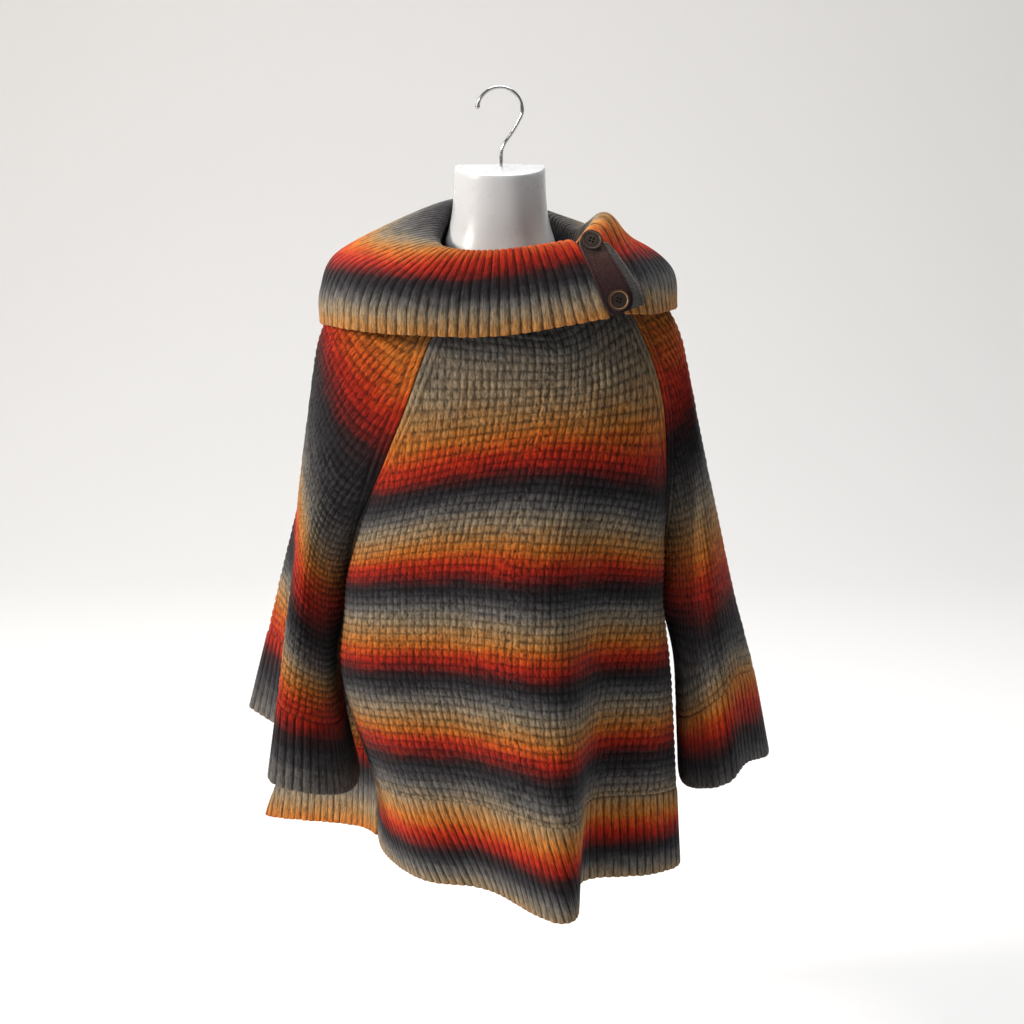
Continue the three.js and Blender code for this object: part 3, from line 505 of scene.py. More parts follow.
def knitPanel(name, panel, topRow, bottomRow):
    down = knit["cellHigh"] / knit["samplesDown"]
    rows = np.arange(math.ceil(topRow / down) * down, bottomRow - 0.6, down)
    rows = np.concatenate([[topRow], rows[rows > topRow + 0.6], [bottomRow]])
    lengths = rowLengths(panel, rows)[:, -1]
    band = np.minimum(0.08 * lengths, knit["band"])
    step = knit["cellWide"] / knit["samplesAcross"]
    reach = math.ceil(lengths.max() / 2 / step)
    middle = np.arange(-reach, reach + 1) * step
    limit = lengths / 2 - band
    inside = np.clip(middle[None, :], -limit[:, None], limit[:, None])
    left = -lengths[:, None] / 2 + band[:, None] * np.linspace(0, 1, knit["bandSteps"] + 1)[None, :]
    u = np.concatenate([left, inside, -left[:, ::-1]], axis=1)
    t = np.clip(u / lengths[:, None] + 0.5, 0, 1)
    ids = gridIds(t)
    n = knit["bandSteps"] + 1
    for j in range(n, n + len(middle)):
        ids[:, j] = np.where(inside[:, j - n] <= -limit + 1e-6, ids[:, n - 1], ids[:, j])
        ids[:, j] = np.where(inside[:, j - n] >= limit - 1e-6, ids[:, n + len(middle)], ids[:, j])
    points, away = clothFrame(panel, rows, t, lengths)
    size = cutSize(points)
    cellX = u / knit["cellWide"]
    course = courseAt(panel, rows, points)
    cellY = course / knit["cellHigh"]
    acrossCell = np.mod(cellX + 1e-6, 1)
    bumpX = 0.1 + 0.9 * np.abs(np.sin(np.pi * cellX)) ** 0.6
    bumpX = bumpX - 0.16 * np.exp(-(((acrossCell - 0.5) / 0.1) ** 2))
    bumpY = 0.25 + 0.75 * np.abs(np.sin(np.pi * cellY)) ** 0.6
    lump = bumpX * bumpY
    jitter = 0.72 + 0.5 * scatter(np.floor(cellX + 1e-6), np.floor(cellY + 1e-6))
    fromEdge = np.minimum(t, 1 - t) * lengths[:, None]
    cord = np.abs(np.sin(np.pi * fromEdge / knit["cord"])) ** 0.7
    onBand = fromEdge < band[:, None] - 1e-3
    intoKnit = ease((fromEdge - band[:, None]) / 4)
    relief = np.where(onBand, cord * knit["cordRelief"], lump * jitter * knit["relief"] * intoKnit)
    # hollow sets painted shade, darker in the gutters between cells and between the band's cords, and
    # partly a random tone per cell
    hollow = np.where(onBand, cord, lump * intoKnit * (0.55 + 0.55 * jitter))
    ends = np.minimum(ease((rows - topRow) / 3), ease((bottomRow - rows) / 3))[:, None]
    points = points + away * ((relief - knit["sink"]) * ends)[..., None]
    place = np.stack([u / 1000, course / 1000, 0 * u], -1)
    outer = {"points": points, "ids": ids, "t": t, "rows": rows, "place": place,
             "stripe": stripePhase(panel, course), "hollow": hollow}
    innerRows = np.concatenate([rows[:-1:knit["innerStep"]], rows[-1:]])
    innerLengths = rowLengths(panel, innerRows)[:, -1]
    innerShares = np.linspace(0, 1, knit["innerColumns"])
    innerT = np.broadcast_to(innerShares[None, :], (len(innerRows), len(innerShares))).copy()
    points, away = clothFrame(panel, innerRows, innerT, innerLengths)
    course = courseAt(panel, innerRows, points)
    u = (innerT - 0.5) * innerLengths[:, None]
    place = np.stack([u / 1000, course / 1000, 0 * u], -1)
    inner = {"points": points - away * wallThickness, "ids": gridIds(innerT), "t": innerT,
             "rows": innerRows,
             "place": place, "stripe": stripePhase(panel, course), "hollow": 0 * u + 0.6}
    print(name, "is cut", size)
    return closedWall(name, outer, inner)


# ribbed bands: stand out in ribs, and round off at the free edge
ribs = {"samples": 6, "relief": 1.6, "sink": 0.2, "down": 3.0, "roll": 1.5, "chain": 0.12, "stitch": 6.0,
        "front": 76, "back": 86, "sleeveRight": 56, "sleeveLeft": 56}


def ribShape(turns):
    # a broad flat rib between narrow furrows, one rib a turn
    fromFurrow = np.abs(turns - np.rint(turns))
    return 1 - np.exp(-((fromFurrow / 0.15) ** 2))


def rollOff(fromEdge, radius=ribs["roll"]):
    # how far a face at half the wall from the middle draws in at a rounded edge
    x = np.clip(fromEdge / radius, 0, 1)
    return 1 - np.sqrt(np.maximum(0, 1 - (1 - x) ** 2))


def frayDrop(points, turns, fromEdge):
    # each rib ends a little lower or higher than the next
    ragged = 1.1 * ribShape(turns) + 0.9 * scatter(np.floor(turns), 3.0)
    near = ease(1 - np.asarray(fromEdge) / 10)
    if near.ndim == 1:
        near = near[:, None]
    down = unit(points[-1] - points[-7])
    return down[None] * ((ragged - 1) * near)[..., None]


def ribBand(name, panel, topRow, bottomRow):
    count = ribs[panel]
    tail = bottomRow - np.array([1.5, 1.0, 0.6, 0.25, 0])
    rows = np.concatenate([[topRow], np.arange(topRow + ribs["down"], bottomRow - 2.2, ribs["down"]), tail])
    lengths = rowLengths(panel, rows)[:, -1]
    columns = np.linspace(0, 1, count * ribs["samples"] + 1)
    t = np.broadcast_to(columns[None, :], (len(rows), len(columns))).copy()
    points, away = clothFrame(panel, rows, t, lengths)
    size = cutSize(points)
    rib = ribShape(columns * count)
    u = (t - 0.5) * lengths[:, None]
    # each rib is a chain of stitches
    chain = ribs["chain"] * np.cos(2 * np.pi * rows / ribs["stitch"])[:, None] * rib[None, :]
    ends = ease((rows - topRow) / 4)[:, None]
    relief = (rib[None, :] * ribs["relief"] + chain - ribs["sink"]) * ends
    roll = rollOff(bottomRow - rows)[:, None]
    half = wallThickness / 2
    points = points + away * (relief * (1 - roll) - half * roll)[..., None]
    points = points + frayDrop(points, t * count, bottomRow - rows)
    phase = np.broadcast_to(stripePhase(panel, rows)[:, None], u.shape)
    place = np.stack([t * lengths.mean() / 1000, np.broadcast_to(rows[:, None] / 1000, u.shape), 0 * u], -1)
    # the hollow value is the rib's profile, so painted shade darkens the furrows between ribs
    outer = {"points": points, "ids": gridIds(t), "t": t, "rows": rows, "place": place, "stripe": phase,
             "hollow": np.broadcast_to(rib[None, :], u.shape)}
    innerRows = np.concatenate([rows[:-5:6], tail])
    innerLengths = rowLengths(panel, innerRows)[:, -1]
    innerShares = np.linspace(0, 1, count * 2 + 1)
    innerT = np.broadcast_to(innerShares[None, :], (len(innerRows), len(innerShares))).copy()
    points, away = clothFrame(panel, innerRows, innerT, innerLengths)
    roll = rollOff(bottomRow - innerRows)[:, None, None]
    points = points - away * (wallThickness - half * roll)
    points = points + frayDrop(points, innerT * count, bottomRow - innerRows)
    phase = np.broadcast_to(stripePhase(panel, innerRows)[:, None], innerT.shape)
    u = (innerT - 0.5) * innerLengths[:, None]
    place = np.stack([u / 1000, np.broadcast_to(innerRows[:, None] / 1000, u.shape), 0 * u], -1)
    inner = {"points": points, "ids": gridIds(innerT), "t": innerT, "rows": innerRows, "place": place,
             "stripe": phase, "hollow": 0 * u + 0.6}
    print(name, "is cut", size)
    return closedWall(name, outer, inner)


# the collar: a stand, a crest, and a deep fall folded out over the shoulders
collar = {
    "neck": [47, 90, 128, 155, 180, 215, 270, 322, 358, 382, 400],
    "crest": [(80, -93, -163), (0, -98, -174), (-58, -86, -173), (-74, -50, -166), (-68, -10, -150),
              (-53, 25, -135), (0, 42, -131), (60, 30, -151), (90, 2, -162), (115, -36, -140),
              (95, -82, -160)],
    "out": [(104, -117, -192), (0, -118, -205), (-100, -110, -204), (-156, -68, -190), (-181, 0, -186),
            (-112, 60, -164), (0, 84, -160), (108, 72, -177), (158, 4, -178), (146, -60, -172),
            (117, -106, -190)],
    "turn": [(113, -122, -216), (0, -123, -232), (-112, -118, -232), (-180, -74, -224), (-203, 8, -228),
             (-142, 92, -212), (0, 110, -210), (138, 94, -220), (196, 6, -208), (168, -84, -204),
             (127, -115, -214)],
    "edge": [(124, -124, -244), (0, -126, -264), (-114, -121, -263), (-183, -78, -262), (-205, 10, -268),
             (-152, 106, -264), (0, 118, -266), (148, 104, -264), (202, 6, -252), (176, -94, -244),
             (139, -117, -241)],
    "stops": [0, 0.17, 0.5, 0.72, 1],
    "seat": -0.1, "ribs": 92, "samples": 6, "ribCrest": 3.3, "ribTrough": 1.8, "round": 900,
    # stripe phases by distance from the edge: the yarn's stripes, with the deepest part against the neck
    # set to the near black band as painted shade
    "fromEdge": [0, 8, 20, 32, 50, 60, 68, 78, 92, 112, 135, 160, 195, 240, 300],
    "phases": [0.72, 0.68, 0.57, 0.44, 0.25, 0.17, 0.08, 0, -0.1, -0.2, -0.38, -0.55, -0.68, -0.78, -0.82],
}


def throughPoints(points, at):
    table = {"i": list(range(len(points)))}
    for axis, values in zip("xyz", np.array(points, float).T):
        table[axis] = list(values)
    return np.stack([readCurve(table, "i", axis, at) for axis in "xyz"], -1)


def stationAt(u):
    # steps the stations evenly along the collar's outer turn, so that its ribs keep their width
    steps = np.linspace(0, len(collar["turn"]) - 1, 201)
    line = throughPoints(collar["turn"], steps)
    lengths = np.concatenate([[0], np.cumsum(np.linalg.norm(np.diff(line, axis=0), axis=1))])
    return np.interp(np.clip(u, 0, 1) * lengths[-1], lengths, steps)


def collarFace(u, v):
    at = stationAt(np.asarray(u, float))
    angle = readCurve({"i": list(range(len(collar["neck"]))), "a": collar["neck"]}, "i", "a", at)
    neckX, neckY = capePlan(np.zeros_like(angle), angle)
    neckZ = rowHeight(np.zeros_like(angle), angle, None) + collar["seat"]
    rings = [np.stack([neckX, neckY, neckZ], -1)]
    rings += [throughPoints(collar[name], at) for name in ("crest", "out", "turn", "edge")]
    stops = np.array(collar["stops"])
    slopes = []
    for k in range(5):
        a, b = max(0, k - 1), min(4, k + 1)
        slopes.append((rings[b] - rings[a]) / (stops[b] - stops[a]))
    v = np.asarray(v, float)
    face = np.zeros((len(v), len(at), 3))
    for j, value in enumerate(v):
        i = min(3, max(0, int(np.searchsorted(stops, value, side="right")) - 1))
        span = stops[i + 1] - stops[i]
        w = min(1, max(0, (value - stops[i]) / span))
        face[j] = hermite(w, span, rings[i], rings[i + 1], slopes[i], slopes[i + 1])
    return face


def collarFrame(u, v):
    face = collarFace(u, v)
    along = collarFace(np.minimum(u + 0.004, 1), v) - collarFace(np.maximum(u - 0.004, 0), v)
    down = collarFace(u, np.minimum(v + 0.02, 1)) - collarFace(u, np.maximum(v - 0.02, 0))
    return face, unit(np.cross(along, down))


def downLengths(face):
    # how far down each line a point lies, and how far it is from the edge
    parts = np.linalg.norm(np.diff(face, axis=0), axis=2)
    along = np.concatenate([np.zeros((1, face.shape[1])), np.cumsum(parts, axis=0)])
    return along, along[-1][None, :] - along


def collarRoll(u, fromEdge):
    # the lower edge and the split's two sides are all rounded
    return np.maximum(rollOff(fromEdge), rollOff(np.minimum(u, 1 - u) * collar["round"])[None, :])


def makeCollar():
    u = np.linspace(0, 1, collar["ribs"] * collar["samples"] + 1)
    v = np.concatenate([np.linspace(0, 0.97, 56), [0.98, 0.988, 0.994, 0.998, 1]])
    face, away = collarFrame(u, v)
    along, fromEdge = downLengths(face)
    print("collar_knit is cut", cutSize(face))
    rib = ribShape(u * collar["ribs"])
    roll = collarRoll(u, fromEdge)
    relief = collar["ribTrough"] + rib[None, :] * (collar["ribCrest"] - collar["ribTrough"])
    points = face + away * mix(relief, wallThickness / 2, roll)[..., None]
    points = points + frayDrop(points, np.broadcast_to(u * collar["ribs"], fromEdge.shape), fromEdge)
    phase = np.interp(fromEdge, collar["fromEdge"], collar["phases"])
    place = np.stack([np.broadcast_to(u, along.shape), along / 1000, 0 * along], -1)
    t = np.broadcast_to(u[None, :], along.shape)
    # the hollow value is the rib's profile, so painted shade darkens the furrows between ribs
    outer = {"points": points, "ids": gridIds(t), "t": t, "rows": v, "place": place,
             "stripe": phase, "hollow": np.broadcast_to(rib[None, :], t.shape)}
    innerU = np.linspace(0, 1, collar["ribs"] * 2 + 1)
    pick = list(range(0, 56, 3)) + [56, 57, 58, 59, 60]
    face, away = collarFrame(innerU, v[pick])
    along, fromEdge = downLengths(face)
    roll = collarRoll(innerU, fromEdge)
    points = face + away * (roll * wallThickness / 2)[..., None]
    points = points + frayDrop(points, np.broadcast_to(innerU * collar["ribs"], fromEdge.shape), fromEdge)
    phase = np.interp(fromEdge, collar["fromEdge"], collar["phases"])
    t = np.broadcast_to(innerU[None, :], along.shape)
    place = np.stack([(t - 0.5) * 0.9, along / 1000, 0 * along], -1)
    inner = {"points": points, "ids": gridIds(t), "t": t, "rows": v[pick], "place": place,
             "stripe": phase, "hollow": 0 * along + 0.6}
    return closedWall("collar_knit", outer, inner)


# materials
def newMaterial(name, roughness):
    material = bpy.data.materials.new(name)
    material.use_nodes = True
    shader = material.node_tree.nodes["Principled BSDF"]
    shader.inputs["Roughness"].default_value = roughness
    return material, material.node_tree, shader


def addNode(tree, kind, settings=None, inputs=None):
    node = tree.nodes.new("ShaderNode" + kind)
    for key, value in (settings or {}).items():
        setattr(node, key, value)
    for key, value in (inputs or {}).items():
        if hasattr(value, "is_output"):
            tree.links.new(value, node.inputs[key])
        else:
            node.inputs[key].default_value = value
    return node


def fromScreen(r, g, b):
    # a colour as a screen shows it, 0 to 255, to the shader's linear colour
    shares = [c / 255 for c in (r, g, b)]
    return tuple(((c + 0.055) / 1.055) ** 2.4 if c > 0.04 else c / 12.92 for c in shares) + (1.0,)


def colourRamp(tree, share, stops):
    ramp = addNode(tree, "ValToRGB", None, {"Fac": share})
    while len(ramp.color_ramp.elements) < len(stops):
        ramp.color_ramp.elements.new(0.5)
    for element, (at, colour) in zip(ramp.color_ramp.elements, stops):
        element.position = at
        element.color = fromScreen(*colour)
    return ramp


woolColours = [
    (0.0, (150, 31, 16)),
    (0.06, (110, 26, 20)),
    (0.14, (50, 28, 30)),
    (0.22, (36, 35, 40)),
    (0.31, (62, 61, 64)),
    (0.42, (100, 97, 94)),
    (0.56, (142, 124, 99)),
    (0.68, (166, 120, 70)),
    (0.79, (184, 106, 38)),
    (0.87, (184, 74, 22)),
    (0.94, (172, 42, 16)),
    (1.0, (150, 31, 16)),
]


# the noise's own grid shows where its place is nought, so every pattern starts off it
noiseStart = (7.3, 3.1, 0.45)


def woolMaterial(name, how):
    material, tree, shader = newMaterial(name, 0.92)
    place = addNode(tree, "Attribute", {"attribute_name": "place"})
    stripe = addNode(tree, "Attribute", {"attribute_name": "stripe"})
    hollow = addNode(tree, "Attribute", {"attribute_name": "hollow"})
    stretched = addNode(tree, "Mapping", None,
                        {"Vector": place.outputs["Vector"], "Scale": (30, 110, 1), "Location": noiseStart})
    drift = addNode(tree, "TexNoise", None,
                    {"Vector": stretched.outputs["Vector"], "Scale": 1.0, "Detail": 3})
    shifted = addNode(tree, "Math", {"operation": "MULTIPLY_ADD"},
                      {0: drift.outputs["Fac"], 1: 0.16, 2: stripe.outputs["Fac"]})
    centred = addNode(tree, "Math", {"operation": "SUBTRACT"}, {0: shifted.outputs[0], 1: 0.08})
    phase = addNode(tree, "Math", {"operation": "FRACT"}, {0: centred.outputs[0]})
    ramp = colourRamp(tree, phase.outputs[0], woolColours)
    # heathered fibres: fine light and dark flecks
    thread = addNode(tree, "Mapping", None,
                     {"Vector": place.outputs["Vector"], "Scale": how["fleck"], "Location": noiseStart})
    fleck = addNode(tree, "TexNoise", None,
                    {"Vector": thread.outputs["Vector"], "Scale": 1.0, "Detail": 4, "Roughness": 0.7})
    fleckRange = addNode(tree, "MapRange", None,
                         {"Value": fleck.outputs["Fac"], 1: 0.38, 2: 0.62, 3: 0.55, 4: 1.4})
    # painted shade: the hollow attribute, broken up by the tick noise, darkens the colour in the knit's
    # gutters and the ribs' furrows, down to the dark share at the deepest
    tickPlace = addNode(tree, "Mapping", None,
                        {"Vector": place.outputs["Vector"], "Scale": how["tick"], "Location": noiseStart})
    tick = addNode(tree, "TexNoise", None,
                   {"Vector": tickPlace.outputs["Vector"], "Scale": 1.0, "Detail": 3, "Roughness": 0.6})
    raggedGutterShade = addNode(tree, "Math", {"operation": "MULTIPLY_ADD"},
                     {0: tick.outputs["Fac"], 1: 2.2, 2: hollow.outputs["Fac"]})
    depth = addNode(tree, "MapRange", None,
                    {"Value": raggedGutterShade.outputs[0], 1: 1.1, 2: 1.9, 3: how["dark"], 4: 1.0})
    shade = addNode(tree, "Math", {"operation": "MULTIPLY"},
                    {0: fleckRange.outputs[0], 1: depth.outputs[0]})
    tinted = addNode(tree, "VectorMath", {"operation": "SCALE"},
                     {0: ramp.outputs["Color"], "Scale": shade.outputs[0]})
    tree.links.new(tinted.outputs[0], shader.inputs["Base Color"])
    # stitch ticks down each lump, and loose fibre
    fibre = addNode(tree, "TexNoise", None,
                    {"Vector": place.outputs["Vector"], "Scale": 1500.0, "Detail": 3})
    both = addNode(tree, "Math", {"operation": "MULTIPLY_ADD"},
                   {0: fibre.outputs["Fac"], 1: 0.5, 2: tick.outputs["Fac"]})
    bump = addNode(tree, "Bump", None,
                   {"Height": both.outputs[0], "Strength": 1.0, "Distance": how["depth"]})
    tree.links.new(bump.outputs["Normal"], shader.inputs["Normal"])
    shader.inputs["Sheen Weight"].default_value = 0.08
    shader.inputs["Sheen Roughness"].default_value = 0.5
    shader.inputs["Specular IOR Level"].default_value = 0.12
    return material


print("cloth")
# dark: how far the painted shade in gutters and furrows darkens the colour
knitFibre = {"fleck": (430, 170, 1), "tick": (380, 170, 1), "depth": 0.0016, "dark": 0.32}
ribFibre = {"fleck": (700, 110, 1), "tick": (520, 50, 1), "depth": 0.001, "dark": 0.24}
knitWool = woolMaterial("striped_knit_wool", knitFibre)
ribWool = woolMaterial("striped_rib_wool", ribFibre)

bandGap = 0.15
hemStart = ribTopRow + bandGap
cuffStart = cuffTopRow + bandGap
clothPieces = [
    {"piece": knitPanel("front_knit", "front", 1, ribTopRow), "node": "front",
     "slot": "knit", "wool": knitWool, "flat": (0.71, 0.61), "area": 0.29, "on": ["form"]},
    {"piece": knitPanel("back_knit", "back", 1, ribTopRow), "node": "back",
     "slot": "knit", "wool": knitWool, "flat": (0.77, 0.66), "area": 0.305, "on": ["form"]},
    {"piece": knitPanel("sleeve_right_knit", "sleeveRight", 1, cuffTopRow), "node": "sleeve_right",
     "slot": "knit", "wool": knitWool, "flat": (0.53, 0.55), "area": 0.171, "on": ["form"]},
    {"piece": knitPanel("sleeve_left_knit", "sleeveLeft", 1, cuffTopRow), "node": "sleeve_left",
     "slot": "knit", "wool": knitWool, "flat": (0.49, 0.58), "area": 0.164, "on": ["form"]},
    {"piece": ribBand("hem_front_ribs", "front", hemStart, hemRow), "node": "hem_rib_front",
     "slot": "rib_knit", "wool": ribWool, "flat": (0.72, 0.12), "area": 0.072, "on": ["front"]},
    {"piece": ribBand("hem_back_ribs", "back", hemStart, hemRow), "node": "hem_rib_back",
     "slot": "rib_knit", "wool": ribWool, "flat": (0.91, 0.11), "area": 0.085, "on": ["back"]},
    {"piece": ribBand("cuff_right_ribs", "sleeveRight", cuffStart, cuffRow), "node": "cuff_right",
     "slot": "rib_knit", "wool": ribWool, "flat": (0.6, 0.1), "area": 0.049, "on": ["sleeve_right"]},
    {"piece": ribBand("cuff_left_ribs", "sleeveLeft", cuffStart, cuffRow), "node": "cuff_left",
     "slot": "rib_knit", "wool": ribWool, "flat": (0.52, 0.11), "area": 0.047, "on": ["sleeve_left"]},
    {"piece": makeCollar(), "node": "collar",
     "slot": "rib_knit", "wool": ribWool, "flat": (1.1, 0.25), "area": 0.159, "on": ["front", "back"]},
]
for how in clothPieces:
    piece = how["piece"]
    piece.data.materials.append(how["wool"])
    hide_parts(how["node"])
    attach(piece, "root")

# strap over the collar's split and the tab beneath it
patch = {
    "left": [(91, -101, -151), (90, -109, -164), (97, -119, -180), (105, -127, -197), (114, -133, -220),
             (121, -136, -242)],
    "right": [(113, -97, -151), (119, -104, -163), (128, -113, -178), (139, -120, -195), (149, -126, -213),
              (154, -129, -231)],
    "seat": (-1.2, 4.5, -1.3), "length": 100, "width": 32, "roll": 1.2,
    "stitchIn": 3.4, "stitchWide": 0.6, "stitchDeep": 0.35, "ridges": 340,
}
strap = {"top": 0, "bottom": 1, "left": 0, "right": 1, "lift": 2.9, "thick": 2.4}
tab = {"top": 0.16, "bottom": 1.22, "left": 0.3, "right": 1.3, "lift": 0, "thick": 2}


def patchPoint(s, t):
    at = s * (len(patch["left"]) - 1)
    left = throughPoints(patch["left"], at)
    right = throughPoints(patch["right"], at)
    return mix(left, right, t[..., None]) + np.array(patch["seat"])


def patchOutward(s, t):
    across = patchPoint(s, t + 0.02) - patchPoint(s, t - 0.02)
    down = patchPoint(np.minimum(s + 0.02, 1), t) - patchPoint(np.maximum(s - 0.02, 0), t)
    return unit(np.cross(down, across))


def feltPatch(name, how):
    along = np.concatenate([[0, 0.004, 0.012], np.linspace(0.025, 0.975, 60), [0.988, 0.996, 1]])
    across = np.concatenate([[0, 0.012, 0.03], np.linspace(0.06, 0.94, 22), [0.97, 0.988, 1]])
    s = mix(how["top"], how["bottom"], along)[:, None] + 0 * across[None, :]
    half = (how["right"] - how["left"]) / 2 * (1 - 0.45 * np.abs(2 * along - 1) ** 7)
    middle = (how["right"] + how["left"]) / 2
    t = middle + half[:, None] * (2 * across[None, :] - 1)
    face = patchPoint(s, t)
    away = patchOutward(s, t)
    toEnd = np.minimum(along, 1 - along) * patch["length"]
    toSide = np.minimum(across, 1 - across) * patch["width"]
    toEdge = np.minimum(toEnd[:, None], toSide[None, :])
    roll = rollOff(toEdge, patch["roll"])
    stitch = patch["stitchDeep"] * np.exp(-((toEdge - patch["stitchIn"]) / patch["stitchWide"]) ** 2)
    top = how["lift"] - how["thick"] / 2 * roll - stitch
    bottom = how["lift"] - how["thick"] + how["thick"] / 2 * roll
    print(name, "is cut", cutSize(face))
    shares = np.broadcast_to(across[None, :], s.shape)
    place = np.stack([(shares - 0.5) * 0.032, s * 0.1, 0 * s], -1)
    rest = {"ids": gridIds(s), "t": shares, "rows": along, "place": place, "stripe": s}
    # hollow darkens the stitch groove with painted shade
    outer = dict(rest, points=face + away * top[..., None], hollow=1 - stitch * 1.5)
    inner = dict(rest, points=face + away * bottom[..., None], hollow=0 * s + 1)
    return closedWall(name, outer, inner)


def feltMaterial(name, stops):
    material, tree, shader = newMaterial(name, 0.95)
    place = addNode(tree, "Attribute", {"attribute_name": "place"})
    down = addNode(tree, "Attribute", {"attribute_name": "stripe"})
    hollow = addNode(tree, "Attribute", {"attribute_name": "hollow"})
    ramp = colourRamp(tree, down.outputs["Fac"], stops)
    fleck = addNode(tree, "TexNoise", None,
                    {"Vector": place.outputs["Vector"], "Scale": 520.0, "Detail": 4, "Roughness": 0.7})
    shade = addNode(tree, "MapRange", None,
                    {"Value": fleck.outputs["Fac"], 1: 0.36, 2: 0.64, 3: 0.5, 4: 1.45})
    # the flecks vary the felt's tone, and hollow adds painted shade in the stitch groove
    both = addNode(tree, "Math", {"operation": "MULTIPLY"}, {0: shade.outputs[0], 1: hollow.outputs["Fac"]})
    tinted = addNode(tree, "VectorMath", {"operation": "SCALE"},
                     {0: ramp.outputs["Color"], "Scale": both.outputs[0]})
    tree.links.new(tinted.outputs[0], shader.inputs["Base Color"])
    lined = addNode(tree, "Mapping", None,
                    {"Vector": place.outputs["Vector"], "Scale": (patch["ridges"], 120, 1),
                     "Location": noiseStart})
    line = addNode(tree, "TexNoise", None, {"Vector": lined.outputs["Vector"], "Scale": 1.0, "Detail": 3})
    bump = addNode(tree, "Bump", None, {"Height": line.outputs["Fac"], "Strength": 1.0, "Distance": 0.0012})
    tree.links.new(bump.outputs["Normal"], shader.inputs["Normal"])
    shader.inputs["Sheen Weight"].default_value = 0.2
    shader.inputs["Specular IOR Level"].default_value = 0.15
    return material


print("strap and tab")
# grey-brown at the strap's top, dark red at its middle, near black at its foot
strapColours = [(0, (96, 84, 74)), (0.2, (82, 66, 58)), (0.42, (66, 40, 38)), (0.65, (54, 30, 32)),
                (1, (40, 26, 32))]
tabColours = [(0, (104, 92, 84)), (0.5, (98, 94, 92)), (1, (88, 86, 86))]
strapPiece = feltPatch("strap_felt", strap)
strapPiece.data.materials.append(feltMaterial("dark_strap_felt", strapColours))
tabPiece = feltPatch("tab_felt", tab)
tabPiece.data.materials.append(feltMaterial("grey_tab_felt", tabColours))
for piece, node, slot in ((strapPiece, "strap", "strap_felt"), (tabPiece, "under_tab", "tab_felt")):
    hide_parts(node)
    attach(piece, "root")


# the torso form: level rings for its neck and trunk, its shoulders follow the yoke
form = {
    "neck": [(-88, 50, 61, 14), (-91, 52, 63, 15), (-115, 53, 63, 15), (-140, 55, 64, 16),
             (-158, 58.5, 66, 18), (-172, 63, 69, 21), (-185, 66, 72, 26)],
    "shoulderRows": [4, 30, 58, 84, 108],
    "trunk": [(-350, 176, 110, 50), (-400, 164, 113, 50), (-460, 144, 105, 50), (-520, 133, 95, 50),
              (-590, 130, 90, 50), (-680, 138, 95, 50), (-760, 146, 98, 50), (-792, 144, 96, 48),
              (-800, 134, 88, 42)],
    "neckTilt": 0.06, "inset": 5.5, "around": 120, "between": 5,
}


def yokePoint(row, angle):
    x, y = capePlan(row, angle)
    return np.stack([x, y, rowHeight(row, angle, None)], -1)


def levelRing(section, angle, tilt):
    z, half, fore, aft = section
    c = np.cos(np.radians(angle))
    s = np.sin(np.radians(angle))
    x = half * np.where(s > 0, signedPower(c, 0.86), signedPower(c, 0.6))
    y = -np.where(s > 0, fore * signedPower(s, 0.86), aft * signedPower(s, 0.45))
    return np.stack([x, y, z + tilt * y], -1)


def bevelEdges(piece, width, angle):
    bevel = piece.modifiers.new("edges", "BEVEL")
    bevel.width = width
    bevel.segments = 3
    bevel.angle_limit = math.radians(angle)
    bpy.ops.object.modifier_apply(modifier="edges")


